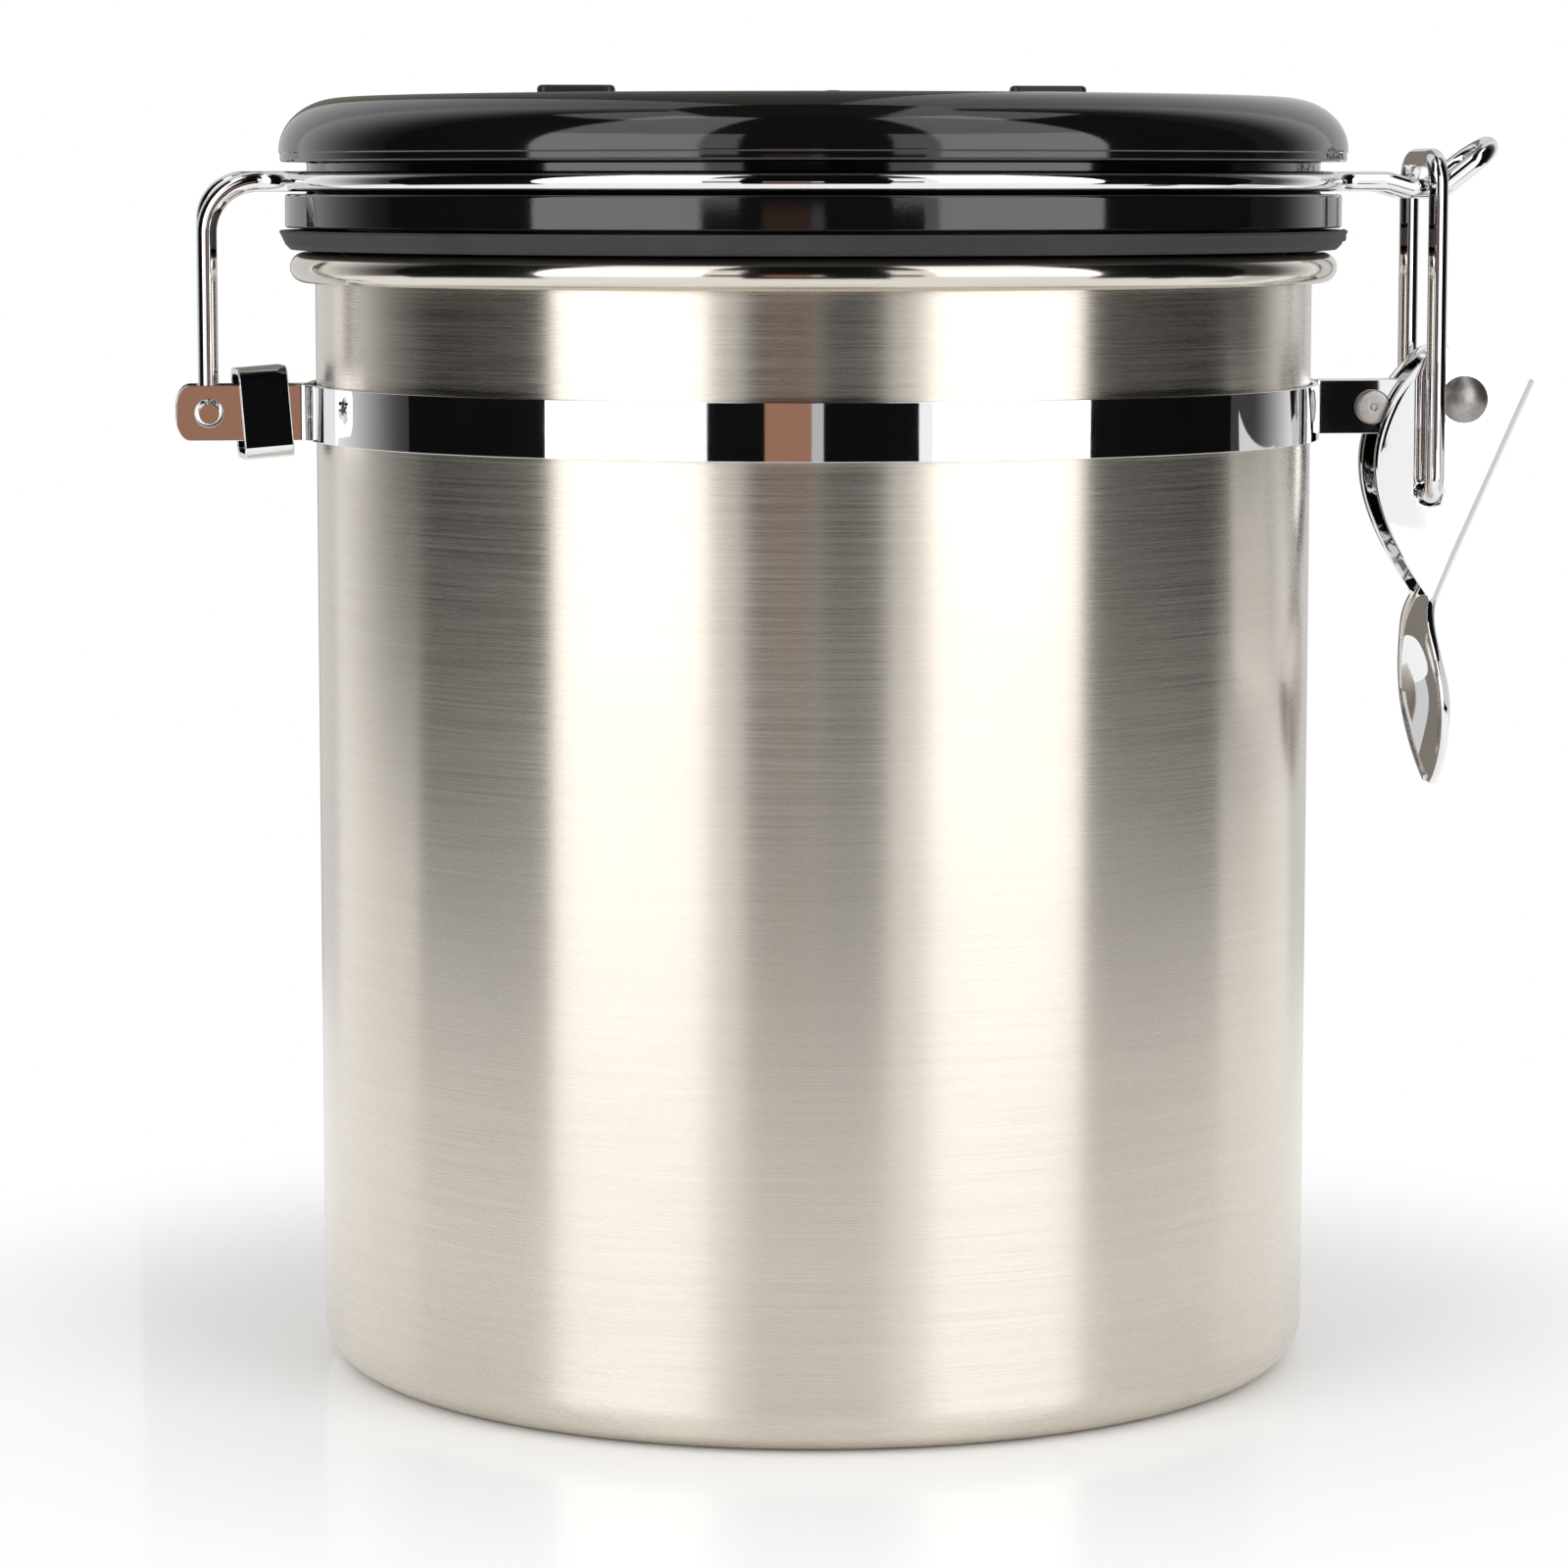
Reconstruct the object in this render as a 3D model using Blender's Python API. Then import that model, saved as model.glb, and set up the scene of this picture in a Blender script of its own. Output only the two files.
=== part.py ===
"""Coffee canister: brushed steel can, clamp band, wire-bail lid with a date dial and a vent valve."""

import math

import bmesh
import bpy
from mathutils import Matrix, Vector

# Units
MM = 0.001

# Corners that turn less than this count as straight
STRAIGHT = math.radians(0.5)

# Clearances between pieces that touch, and how far a cut runs past what it cuts
GAP = 0.3 * MM
OVERRUN = 1.0 * MM
EDGE_ROUND = 0.4 * MM

# Can
CAN_RADIUS = 60.0 * MM
CAN_HEIGHT = 134.3 * MM
CAN_WALL = 0.6 * MM
CAN_CORNER = 5.0 * MM
CURL_RADIUS = 1.8 * MM
CURL_END_SHARE = 0.80
BASE_RING_INSET = 18.0 * MM
BASE_RING_WIDTH = 3.0 * MM
BASE_RING_DEPTH = 0.9 * MM

# Clamp band
BAND_THICK = 0.8 * MM
BAND_HEIGHT = 6.6 * MM
BAND_DROP = 19.0 * MM
BAND_BEND = 1.6 * MM
HINGE_EAR_END = 3.9 * MM
HINGE_EAR_CORNER = 2.3 * MM
LATCH_EAR_END = 3.5 * MM
LATCH_EAR_CORNER = 3.0 * MM
LATCH_EAR_SPLIT = 3.4 * MM

# Wire that carries the lid
WIRE_RADIUS = 1.2 * MM
HINGE_STAND_OFF = 8.7 * MM
HINGE_HOLE_SLACK = 0.45 * MM
PIN_BEND = 1.5 * MM
PIN_STAND_OUT = 2.4 * MM
SHOULDER_BEND = 4.5 * MM
RING_HINGE_FLARE = 5.0 * MM
RING_HOOK_FLARE = 4.0 * MM
HOOK_SPLIT = 7.8 * MM
HOOK_DIP = 0.9 * MM
HOOK_ANGLE = math.radians(38.0)
HOOK_LENGTH = 8.4 * MM
HOOK_BEND = 2.0 * MM

# Lid moulding
LID_OVERHANG = 4.2 * MM
LID_WALL = 1.8 * MM
FLANGE_HEIGHT = 7.6 * MM
FLANGE_LIP = 1.4 * MM
LID_EDGE_WIDTH = 7.6 * MM
GROOVE_DEPTH = 3.3 * MM
GROOVE_PLAY = 0.8 * MM
COLLAR_HEIGHT = 4.0 * MM
COLLAR_STEP = 0.7 * MM

# Gasket
GASKET_HEIGHT = 2.3 * MM
GASKET_STEP = 0.1 * MM
GASKET_TAPER = 0.6 * MM
GASKET_TAB_NECK = 1.1 * MM
GASKET_TAB_NECK_WIDTH = 0.7 * MM
GASKET_TAB_HEAD_WIDTH = 1.6 * MM

# Liner under the lid
LINER_WALL = 1.6 * MM
LINER_CLEARANCE = 2.2 * MM
LINER_LIP = 1.0 * MM
LINER_DEPTH = 4.7 * MM
LINER_TAPER = 3.8 * MM
SEAT_HOLE_RADIUS = 1.1 * MM
SEAT_HOLE_CIRCLE = 4.2 * MM
SEAT_HOLES = 6
SEAT_TURN_SHARE = 0.3

# Vent valve
FLAP_RIM = 1.3 * MM
FLAP_THICK = 0.8 * MM
FLAP_STEM_RADIUS = 0.9 * MM
CHIMNEY_CLEARANCE = 1.4 * MM
FILTER_THICK = 1.2 * MM
COVER_RADIUS = 11.4 * MM
COVER_WALL = 1.0 * MM
COVER_SLOTS = 8
COVER_SLOT_WIDTH = 1.2 * MM
COVER_SLOT_LENGTH = 5.0 * MM
COVER_SLOT_CIRCLE = 5.6 * MM
VENT_FLANGE = 3.7 * MM
VENT_SKIRT = 1.2 * MM
VENT_SLOTS = 6
VENT_SLOT_WIDTH = 1.3 * MM
VENT_SLOT_LENGTH = 3.4 * MM
VENT_SLOT_CIRCLE = 4.4 * MM

# Date dial
DIAL_LIP_THICK = 0.8 * MM
DIAL_LIP_WIDTH = 1.4 * MM
DIAL_SINK = 0.2 * MM
MONTH_WIDTH = 10.0 * MM
DAY_WIDTH = 13.3 * MM
BEZEL_THICK = 1.0 * MM
BEZEL_WALL = 1.9 * MM
FINGER_RIB_HEIGHT = 1.8 * MM
FINGER_RIB_WIDTH = 2.2 * MM
FINGER_RIB_LENGTH = 9.4 * MM
MONTH_RIB_HEIGHT = 0.9 * MM
MONTH_RIB_LENGTH = 6.0 * MM
RIB_ROUND = 0.5 * MM

# Keeper that holds the hinge ears together
KEEPER_WIDTH = 5.8 * MM
KEEPER_PLAY = 0.5 * MM
KEEPER_TALL_PLAY = 1.4 * MM
KEEPER_THICK = 0.7 * MM
KEEPER_CORNER = 1.6 * MM
KEEPER_OFFSET = 6.4 * MM
KEEPER_TILT = math.radians(4.5)
KEEPER_YAW = math.radians(5.0)

# Rivets
LATCH_PIN_RADIUS = 1.5 * MM
LATCH_HEAD_RADIUS = 2.88 * MM
LATCH_HEAD_HEIGHT = 1.1 * MM
EAR_RIVET_OFFSET = 11.0 * MM
EAR_RIVET_RADIUS = 1.2 * MM
EAR_RIVET_HEAD = 2.1 * MM
EAR_RIVET_HEAD_HEIGHT = 0.6 * MM
SPACER_WALL = 0.8 * MM

# Latch lever
LATCH_STAND_OFF = 15.5 * MM
LATCH_RISE = 0.9 * MM
BAIL_CRANK_IN = 4.3 * MM
BAIL_CRANK_DOWN = 11.4 * MM
LEVER_SHEET = 0.8 * MM
LEVER_SIDE_PLAY = 1.2 * MM
LEVER_BEND = 1.1 * MM
LEVER_LEAN = math.radians(24.1)
WEB_OUT = 9.0 * MM
WEB_UP = 2.1 * MM
WEB_LENGTH = 29.6 * MM
CHEEK_DEPTH = 15.5 * MM
CHEEK_PEAK = 10.6 * MM
CHEEK_RISE = 23.9 * MM
CHEEK_FALL = 19.4 * MM
CHEEK_FALL_POWER = 2.35
CHEEK_CORNER = 2.0 * MM
NECK_SHARE = 0.25
TAB_LENGTH = 23.3 * MM
TAB_LEAN = math.radians(-5.3)
TAB_ROOT_HALF_WIDTH = 5.0 * MM
TAB_HALF_WIDTH = 11.0 * MM
TAB_WIDEST_SHARE = 0.52
TAB_TIP_POWER = 1.8
TAB_TIP_ROUNDING = 0.8
TAB_SETTLE_SHARE = 0.25
TAB_RIM = 0.12 * MM
TAB_DISH = 1.5 * MM
WEB_STATION_SHARES = (0.0, 0.006, 0.022, 0.06, 0.16, 0.32, 0.48, 0.62, 0.75, 0.86, 0.97)
TAB_STATION_SHARES = (0.08, 0.2, 0.34, 0.5, 0.64, 0.76, 0.86, 0.93, 0.98)
DISH_SHARES = (-0.6, 0.0, 0.6)

# Latch bail
BAIL_LIFT = 1.3 * MM
BAIL_CORNER = 3.4 * MM
BAIL_FOOT_BEND = 2.0 * MM
BAIL_HOLE_SLACK = 0.45 * MM
BAIL_STUB = 0.5 * MM

# Facets
ROUND_STEPS = 44
INNER_STEPS = 32
SMALL_STEPS = 20
HOLE_STEPS = 16
SEAT_HOLE_STEPS = 8
HALF_TURN_STEPS = 26
BEND_STEPS = 8
CORNER_STEPS = 4
WIRE_SIDES_RESOLUTION = 2

# Band, and its height on the can
BAND_MID_HEIGHT = CAN_HEIGHT - BAND_DROP
BAND_BASE = BAND_MID_HEIGHT - BAND_HEIGHT / 2
BAND_CENTRE = CAN_RADIUS + GAP + BAND_THICK / 2
HINGE_EAR_SPLIT = 4 * WIRE_RADIUS + 3 * GAP
HINGE_EAR_OUT = HINGE_EAR_SPLIT / 2 + BAND_THICK
LATCH_EAR_OUT = LATCH_EAR_SPLIT / 2 + BAND_THICK

# Lid, stacked up from the can's rim
CURL_CENTRE_HEIGHT = CAN_HEIGHT - CURL_RADIUS
GASKET_BASE = CAN_HEIGHT + GAP
GASKET_TOP = GASKET_BASE + GASKET_HEIGHT
COLLAR_BASE_HEIGHT = GASKET_TOP + GAP
COLLAR_TOP_HEIGHT = COLLAR_BASE_HEIGHT + COLLAR_HEIGHT
RING_HEIGHT = COLLAR_TOP_HEIGHT + GAP + WIRE_RADIUS
FLANGE_BASE_HEIGHT = RING_HEIGHT + WIRE_RADIUS + GAP + GROOVE_PLAY
LID_TOP_HEIGHT = FLANGE_BASE_HEIGHT + FLANGE_HEIGHT

# Lid, outwards from the can's wall
LID_RADIUS = CAN_RADIUS + LID_OVERHANG
COLLAR_RADIUS = LID_RADIUS - COLLAR_STEP
GASKET_RADIUS = LID_RADIUS - GASKET_STEP
GROOVE_RADIUS = LID_RADIUS - GROOVE_DEPTH
RING_RADIUS = GROOVE_RADIUS + GAP + WIRE_RADIUS
LINER_LIP_RADIUS = CAN_RADIUS - CAN_WALL - LINER_CLEARANCE
LINER_NECK_RADIUS = LINER_LIP_RADIUS - LINER_LIP
LINER_BASE_RADIUS = LINER_LIP_RADIUS - LINER_TAPER
LINER_BASE_HEIGHT = CAN_HEIGHT - LINER_DEPTH
LINER_FLOOR = LINER_BASE_HEIGHT + LINER_WALL

# Valve and dial, outwards from the vent
FLAP_RADIUS = SEAT_HOLE_CIRCLE + SEAT_HOLE_RADIUS + FLAP_RIM
CHIMNEY_RADIUS = FLAP_RADIUS + CHIMNEY_CLEARANCE
FILTER_RADIUS = COVER_RADIUS - COVER_WALL - GAP
VENT_CAP_RADIUS = CHIMNEY_RADIUS + VENT_FLANGE
MONTH_RADIUS = VENT_CAP_RADIUS + MONTH_WIDTH
DAY_RADIUS = MONTH_RADIUS + GAP + DAY_WIDTH
DIAL_RECESS_RADIUS = DAY_RADIUS + DIAL_LIP_WIDTH + BEZEL_WALL + 2 * GAP
DIAL_FLOOR = LID_TOP_HEIGHT - BEZEL_THICK - DIAL_LIP_THICK - 2 * GAP
DIAL_BASE = DIAL_FLOOR + GAP
DIAL_LIP_TOP = DIAL_BASE + DIAL_LIP_THICK
DIAL_TOP = LID_TOP_HEIGHT - DIAL_SINK
LID_PLATE_BASE = DIAL_FLOOR - LID_WALL

# Hinge and latch, outwards from the lid
HINGE_REACH = LID_RADIUS + HINGE_STAND_OFF
HINGE_EAR_REACH = HINGE_REACH + HINGE_EAR_END
KEEPER_REACH = HINGE_REACH - KEEPER_OFFSET
LEVER_PIVOT_REACH = LID_RADIUS + LATCH_STAND_OFF
LEVER_PIVOT_HEIGHT = BAND_MID_HEIGHT + LATCH_RISE
LATCH_EAR_REACH = LEVER_PIVOT_REACH + LATCH_EAR_END
EAR_RIVET_REACH = LEVER_PIVOT_REACH - EAR_RIVET_OFFSET
LEVER_HALF_WIDTH = LATCH_EAR_OUT + LEVER_SIDE_PLAY + LEVER_SHEET
BAIL_PIVOT_REACH = LEVER_PIVOT_REACH - BAIL_CRANK_IN
BAIL_PIVOT_HEIGHT = LEVER_PIVOT_HEIGHT - BAIL_CRANK_DOWN
BAIL_HALF_WIDTH = LEVER_HALF_WIDTH + LATCH_HEAD_HEIGHT + WIRE_RADIUS + 2 * GAP
HOOK_HEIGHT = RING_HEIGHT - HOOK_DIP
HOOK_UPTURN_REACH = BAIL_PIVOT_REACH + WIRE_RADIUS
BAIL_TOP = HOOK_HEIGHT + 2 * WIRE_RADIUS + BAIL_LIFT


def clear_scene():
    """Remove everything that the file opened with."""
    for thing in list(bpy.data.objects):
        bpy.data.objects.remove(thing, do_unlink=True)


def material(name, colour, roughness, metallic):
    """A plain Principled finish."""
    made = bpy.data.materials.new(name)
    made.use_nodes = True
    shader = made.node_tree.nodes["Principled BSDF"]
    shader.inputs["Base Color"].default_value = (*colour, 1.0)
    shader.inputs["Roughness"].default_value = roughness
    shader.inputs["Metallic"].default_value = metallic
    return made


def add_object(name, data, finish, parent=None, pivot=(0.0, 0.0, 0.0)):
    """Put a mesh or curve made in world coordinates under its parent, with its origin on the pivot."""
    made = bpy.data.objects.new(name, data)
    bpy.context.scene.collection.objects.link(made)
    if finish:
        data.materials.append(finish)
    data.transform(Matrix.Translation(-Vector(pivot)))
    if parent:
        made.parent = parent
        made.location = Vector(pivot) - parent.location
    else:
        made.location = pivot
    return made


def add_axis(name, place):
    """An empty that marks the axis that a group of pieces turns on."""
    axis = bpy.data.objects.new(name, None)
    axis.location = place
    bpy.context.scene.collection.objects.link(axis)
    return axis


def mesh_from(bm, name, sharp_degrees=30.0):
    """Finish a bmesh as a smooth-shaded mesh that keeps its hard edges."""
    bmesh.ops.recalc_face_normals(bm, faces=bm.faces)
    mesh = bpy.data.meshes.new(name)
    bm.to_mesh(mesh)
    bm.free()
    mesh.shade_smooth()
    mesh.set_sharp_from_angle(angle=math.radians(sharp_degrees))
    return mesh


def arc(centre, radius, start, end, steps):
    """Points on a circle arc, angles in degrees."""
    points = []
    for i in range(steps + 1):
        angle = math.radians(start + (end - start) * i / steps)
        points.append((centre[0] + radius * math.cos(angle), centre[1] + radius * math.sin(angle)))
    return points


def revolve(name, profile, steps=ROUND_STEPS):
    """Turn a closed (radius, height) outline about Z. A point at radius 0 becomes one shared vertex."""
    bm = bmesh.new()
    rings = []
    for radius, height in profile:
        if radius <= 0.0:
            rings.append([bm.verts.new((0.0, 0.0, height))] * steps)
            continue
        ring = []
        for i in range(steps):
            angle = 2.0 * math.pi * i / steps
            ring.append(bm.verts.new((radius * math.cos(angle), radius * math.sin(angle), height)))
        rings.append(ring)
    for k, ring in enumerate(rings):
        after = rings[(k + 1) % len(rings)]
        if ring[0] is ring[1] and after[0] is after[1]:
            continue
        for i in range(steps):
            j = (i + 1) % steps
            corners = [ring[i], ring[j], after[j], after[i]]
            face = list(dict.fromkeys(corners))
            bm.faces.new(face)
    return mesh_from(bm, name)


def turned_pin(name, profile, axis_point, steps=SMALL_STEPS):
    """Turn a closed (radius, distance) outline about a line along Y through axis_point."""
    mesh = revolve(name, profile, steps)
    mesh.transform(Matrix.Rotation(math.radians(-90.0), 4, "X"))
    mesh.transform(Matrix.Translation(Vector(axis_point)))
    return mesh


def box(bm, low, high):
    """Add a box between two corners."""
    size = Vector(high) - Vector(low)
    place = Matrix.Translation((Vector(low) + Vector(high)) / 2) @ Matrix.Diagonal((*size, 1.0))
    return bmesh.ops.create_cube(bm, size=1.0, matrix=place)["verts"]


def cutter(name, data):
    """A hidden shape that others are cut with."""
    made = bpy.data.objects.new(name, data)
    bpy.context.scene.collection.objects.link(made)
    made.hide_render = True
    made.display_type = "WIRE"
    return made


def combine(target, other, operation):
    """Join another shape to an object or cut it away."""
    step = target.modifiers.new(other.name, "BOOLEAN")
    step.operation = operation
    step.solver = "EXACT"
    step.object = other


def drill(target, name, radius, start, end, steps=SMALL_STEPS):
    """Cut a round hole from one point to another."""
    start, end = Vector(start), Vector(end)
    along = end - start
    bm = bmesh.new()
    turn = along.to_track_quat("Z", "Y").to_matrix().to_4x4()
    place = Matrix.Translation((start + end) / 2) @ turn
    bmesh.ops.create_cone(
        bm, cap_ends=True, segments=steps, radius1=radius, radius2=radius, depth=along.length, matrix=place
    )
    combine(target, cutter(name, mesh_from(bm, name)), "DIFFERENCE")


def rounded_route(points, bends, steps):
    """A route through corner points, each inner corner turned at its own bend radius."""
    points = [Vector(p) for p in points]
    route = [points[0]]
    for before, corner, after, bend in zip(points, points[1:], points[2:], bends):
        back = (before - corner).normalized()
        ahead = (after - corner).normalized()
        turn = math.pi - back.angle(ahead)
        if turn < STRAIGHT or bend <= 0.0:
            route.append(corner)
            continue
        reach = bend * math.tan(turn / 2)
        centre = corner + (back + ahead).normalized() * (bend / math.cos(turn / 2))
        first = corner + back * reach - centre
        axis = back.cross(ahead)
        count = max(2, round(steps * turn / math.pi))
        for i in range(count + 1):
            route.append(centre + Matrix.Rotation(-turn * i / count, 3, axis) @ first)
    route.append(points[-1])
    return route


def wire(name, route, finish, parent, pivot):
    """A round wire along a route."""
    curve = bpy.data.curves.new(name, "CURVE")
    curve.dimensions = "3D"
    curve.bevel_depth = WIRE_RADIUS
    curve.bevel_resolution = WIRE_SIDES_RESOLUTION
    curve.use_fill_caps = True
    spline = curve.splines.new("POLY")
    spline.points.add(len(route) - 1)
    for point, place in zip(spline.points, route):
        point.co = (*place, 1.0)
    return add_object(name, curve, finish, parent, pivot)


def mirrored(route):
    """The same route on the other side of the XZ plane, in reverse order."""
    return [Vector((p.x, -p.y, p.z)) for p in reversed(route)]


def can_body(finish):
    """Deep-drawn can: flat base with a pressed ring, rounded corner, straight wall and a rolled rim."""
    curl = CURL_RADIUS - CAN_WALL
    centre = (CAN_RADIUS - CAN_WALL + CURL_RADIUS, CURL_CENTRE_HEIGHT)
    corner = CAN_RADIUS - CAN_CORNER
    ring_out = CAN_RADIUS - BASE_RING_INSET + BASE_RING_WIDTH / 2
    ring_in = ring_out - BASE_RING_WIDTH
    slope = BASE_RING_DEPTH
    outside = [
        (0.0, 0.0),
        (ring_in - slope, 0.0),
        (ring_in, BASE_RING_DEPTH),
        (ring_out, BASE_RING_DEPTH),
        (ring_out + slope, 0.0),
    ]
    outside += arc((corner, CAN_CORNER), CAN_CORNER, -90.0, 0.0, CORNER_STEPS)
    curl_end = 180.0 - 360.0 * CURL_END_SHARE
    under = arc(centre, curl, 180.0, curl_end, CORNER_STEPS)
    over = arc(centre, CURL_RADIUS, curl_end, 180.0, SMALL_STEPS // 3)
    inside = arc((corner, CAN_CORNER), CAN_CORNER - CAN_WALL, 0.0, -90.0, CORNER_STEPS // 2)
    floor = [
        (ring_out + slope, CAN_WALL),
        (ring_out, BASE_RING_DEPTH + CAN_WALL),
        (ring_in, BASE_RING_DEPTH + CAN_WALL),
        (ring_in - slope, CAN_WALL),
        (0.0, CAN_WALL),
    ]
    return add_object("canister_body", revolve("canister_body", outside + under + over + inside + floor), finish)


def half_band_line(side):
    """Centre line of one half of the clamp band seen from above, from hinge ear to latch ear."""
    hinge_line = HINGE_EAR_SPLIT / 2 + BAND_THICK / 2
    latch_line = LATCH_EAR_SPLIT / 2 + BAND_THICK / 2
    reach = BAND_CENTRE + BAND_BEND
    hinge_x = math.sqrt(reach ** 2 - (hinge_line + BAND_BEND) ** 2)
    latch_x = math.sqrt(reach ** 2 - (latch_line + BAND_BEND) ** 2)
    hinge_turn = math.degrees(math.atan2(hinge_line + BAND_BEND, hinge_x))
    latch_turn = math.degrees(math.atan2(latch_line + BAND_BEND, latch_x))
    line = [(-HINGE_EAR_REACH, hinge_line)]
    line += arc((-hinge_x, hinge_line + BAND_BEND), BAND_BEND, -90.0, -hinge_turn, CORNER_STEPS)
    line += arc((0.0, 0.0), BAND_CENTRE, 180.0 - hinge_turn, latch_turn, HALF_TURN_STEPS)[1:]
    line += arc((latch_x, latch_line + BAND_BEND), BAND_BEND, 180.0 + latch_turn, 270.0, CORNER_STEPS)[1:]
    line.append((LATCH_EAR_REACH, latch_line))
    return [(x, side * y) for x, y in line]


def strip(name, line, thickness, base, height):
    """Stand a flat strip on edge along a line seen from above."""
    bm = bmesh.new()
    columns = []
    for i, (x, y) in enumerate(line):
        before = Vector(line[max(i - 1, 0)])
        after = Vector(line[min(i + 1, len(line) - 1)])
        along = (after - before).normalized()
        across = Vector((-along.y, along.x)) * (thickness / 2)
        column = []
        for sign, up in ((-1, 0.0), (1, 0.0), (1, height), (-1, height)):
            column.append(bm.verts.new((x + sign * across.x, y + sign * across.y, base + up)))
        columns.append(column)
    for column, after in zip(columns, columns[1:]):
        for i in range(4):
            j = (i + 1) % 4
            bm.faces.new((column[i], column[j], after[j], after[i]))
    bm.faces.new(columns[0])
    bm.faces.new(list(reversed(columns[-1])))
    return bm


def half_band(name, side, finish):
    """One half of the clamp band, with rounded ears drilled for the hinge wire, the rivet and the latch pin."""
    bm = strip(name, half_band_line(side), BAND_THICK, BAND_BASE, BAND_HEIGHT)
    for end, rounding in ((-HINGE_EAR_REACH, HINGE_EAR_CORNER), (LATCH_EAR_REACH, LATCH_EAR_CORNER)):
        corners = []
        for edge in bm.edges:
            a, b = (v.co for v in edge.verts)
            at_end = abs(a.x - end) < GAP and abs(b.x - end) < GAP
            if at_end and abs(a.z - b.z) < GAP:
                corners.append(edge)
        bmesh.ops.bevel(bm, geom=corners, offset=rounding, segments=CORNER_STEPS, profile=0.5, affect="EDGES")
    band = add_object(name, mesh_from(bm, name), finish)
    inner, outer = -OVERRUN, HINGE_EAR_OUT + OVERRUN
    holes = (
        ("hinge_hole", -HINGE_REACH, BAND_MID_HEIGHT, WIRE_RADIUS + HINGE_HOLE_SLACK),
        ("rivet_hole", EAR_RIVET_REACH, BAND_MID_HEIGHT, EAR_RIVET_RADIUS + GAP),
        ("pin_hole", LEVER_PIVOT_REACH, LEVER_PIVOT_HEIGHT, LATCH_PIN_RADIUS + GAP),
    )
    for label, x, z, radius in holes:
        drill(band, f"{name}_{label}", radius, (x, side * inner, z), (x, side * outer, z), HOLE_STEPS)
    return band


def keeper(finish):
    """Bent sheet loop slid over both hinge ears, hanging slightly askew."""
    half_depth = HINGE_EAR_OUT + KEEPER_PLAY + KEEPER_THICK
    half_height = BAND_HEIGHT / 2 + KEEPER_TALL_PLAY + KEEPER_THICK
    outlines = []
    for inset in (0.0, KEEPER_THICK):
        corner = KEEPER_CORNER - inset
        y, z = half_depth - inset - corner, half_height - inset - corner
        outline = []
        for cy, cz, start in ((y, z, 0.0), (-y, z, 90.0), (-y, -z, 180.0), (y, -z, 270.0)):
            outline += arc((cy, cz), corner, start, start + 90.0, CORNER_STEPS)
        outlines.append(outline)
    bm = bmesh.new()
    layers = []
    for x in (-KEEPER_WIDTH / 2, KEEPER_WIDTH / 2):
        layers.append([[bm.verts.new((x, y, z)) for y, z in outline] for outline in outlines])
    count = len(outlines[0])
    for i in range(count):
        j = (i + 1) % count
        for layer in layers:
            bm.faces.new((layer[0][i], layer[0][j], layer[1][j], layer[1][i]))
        for ring in (0, 1):
            bm.faces.new((layers[0][ring][i], layers[0][ring][j], layers[1][ring][j], layers[1][ring][i]))
    mesh = mesh_from(bm, "band_keeper")
    mesh.transform(Matrix.Rotation(KEEPER_YAW, 4, "Z"))
    mesh.transform(Matrix.Rotation(-KEEPER_TILT, 4, "Y"))
    mesh.transform(Matrix.Translation((-KEEPER_REACH, 0.0, BAND_MID_HEIGHT)))
    return add_object("band_keeper", mesh, finish)


def ear_rivet(finish):
    """Flat-headed rivet through both latch ears."""
    neck = LATCH_EAR_OUT + GAP
    face = neck + EAR_RIVET_HEAD_HEIGHT
    rim = EAR_RIVET_HEAD - EDGE_ROUND
    profile = [(0.0, -face), (rim, -face), (EAR_RIVET_HEAD, -face + EDGE_ROUND), (EAR_RIVET_HEAD, -neck)]
    profile += [(EAR_RIVET_RADIUS, -neck), (EAR_RIVET_RADIUS, neck)]
    profile += [(EAR_RIVET_HEAD, neck), (EAR_RIVET_HEAD, face - EDGE_ROUND), (rim, face), (0.0, face)]
    place = (EAR_RIVET_REACH, 0.0, BAND_MID_HEIGHT)
    return add_object("ear_rivet", turned_pin("ear_rivet", profile, place), finish)


def spacer(name, reach, height, bore, finish):
    """Short tube that keeps the latch ears apart on a rivet."""
    half = LATCH_EAR_SPLIT / 2 - GAP
    inner, outer = bore + GAP, bore + GAP + SPACER_WALL
    profile = [(inner, -half), (outer, -half), (outer, half), (inner, half)]
    return add_object(name, turned_pin(name, profile, (reach, 0.0, height), HOLE_STEPS), finish)


def latch_pin(finish):
    """Rivet with domed heads that the lever turns on."""
    neck = LEVER_HALF_WIDTH + GAP
    sphere = (LATCH_HEAD_RADIUS ** 2 + LATCH_HEAD_HEIGHT ** 2) / (2 * LATCH_HEAD_HEIGHT)
    drop = sphere - LATCH_HEAD_HEIGHT
    edge = math.degrees(math.acos(LATCH_HEAD_RADIUS / sphere))
    dome = arc((0.0, -drop), sphere, edge, 90.0, CORNER_STEPS)[:-1]
    profile = [(0.0, -neck - LATCH_HEAD_HEIGHT)]
    profile += [(radius, -neck - up) for radius, up in reversed(dome)]
    profile += [(LATCH_PIN_RADIUS, -neck), (LATCH_PIN_RADIUS, neck)]
    profile += [(radius, neck + up) for radius, up in dome]
    profile += [(0.0, neck + LATCH_HEAD_HEIGHT)]
    place = (LEVER_PIVOT_REACH, 0.0, LEVER_PIVOT_HEIGHT)
    return add_object("latch_pin", turned_pin("latch_pin", profile, place), finish)


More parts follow.
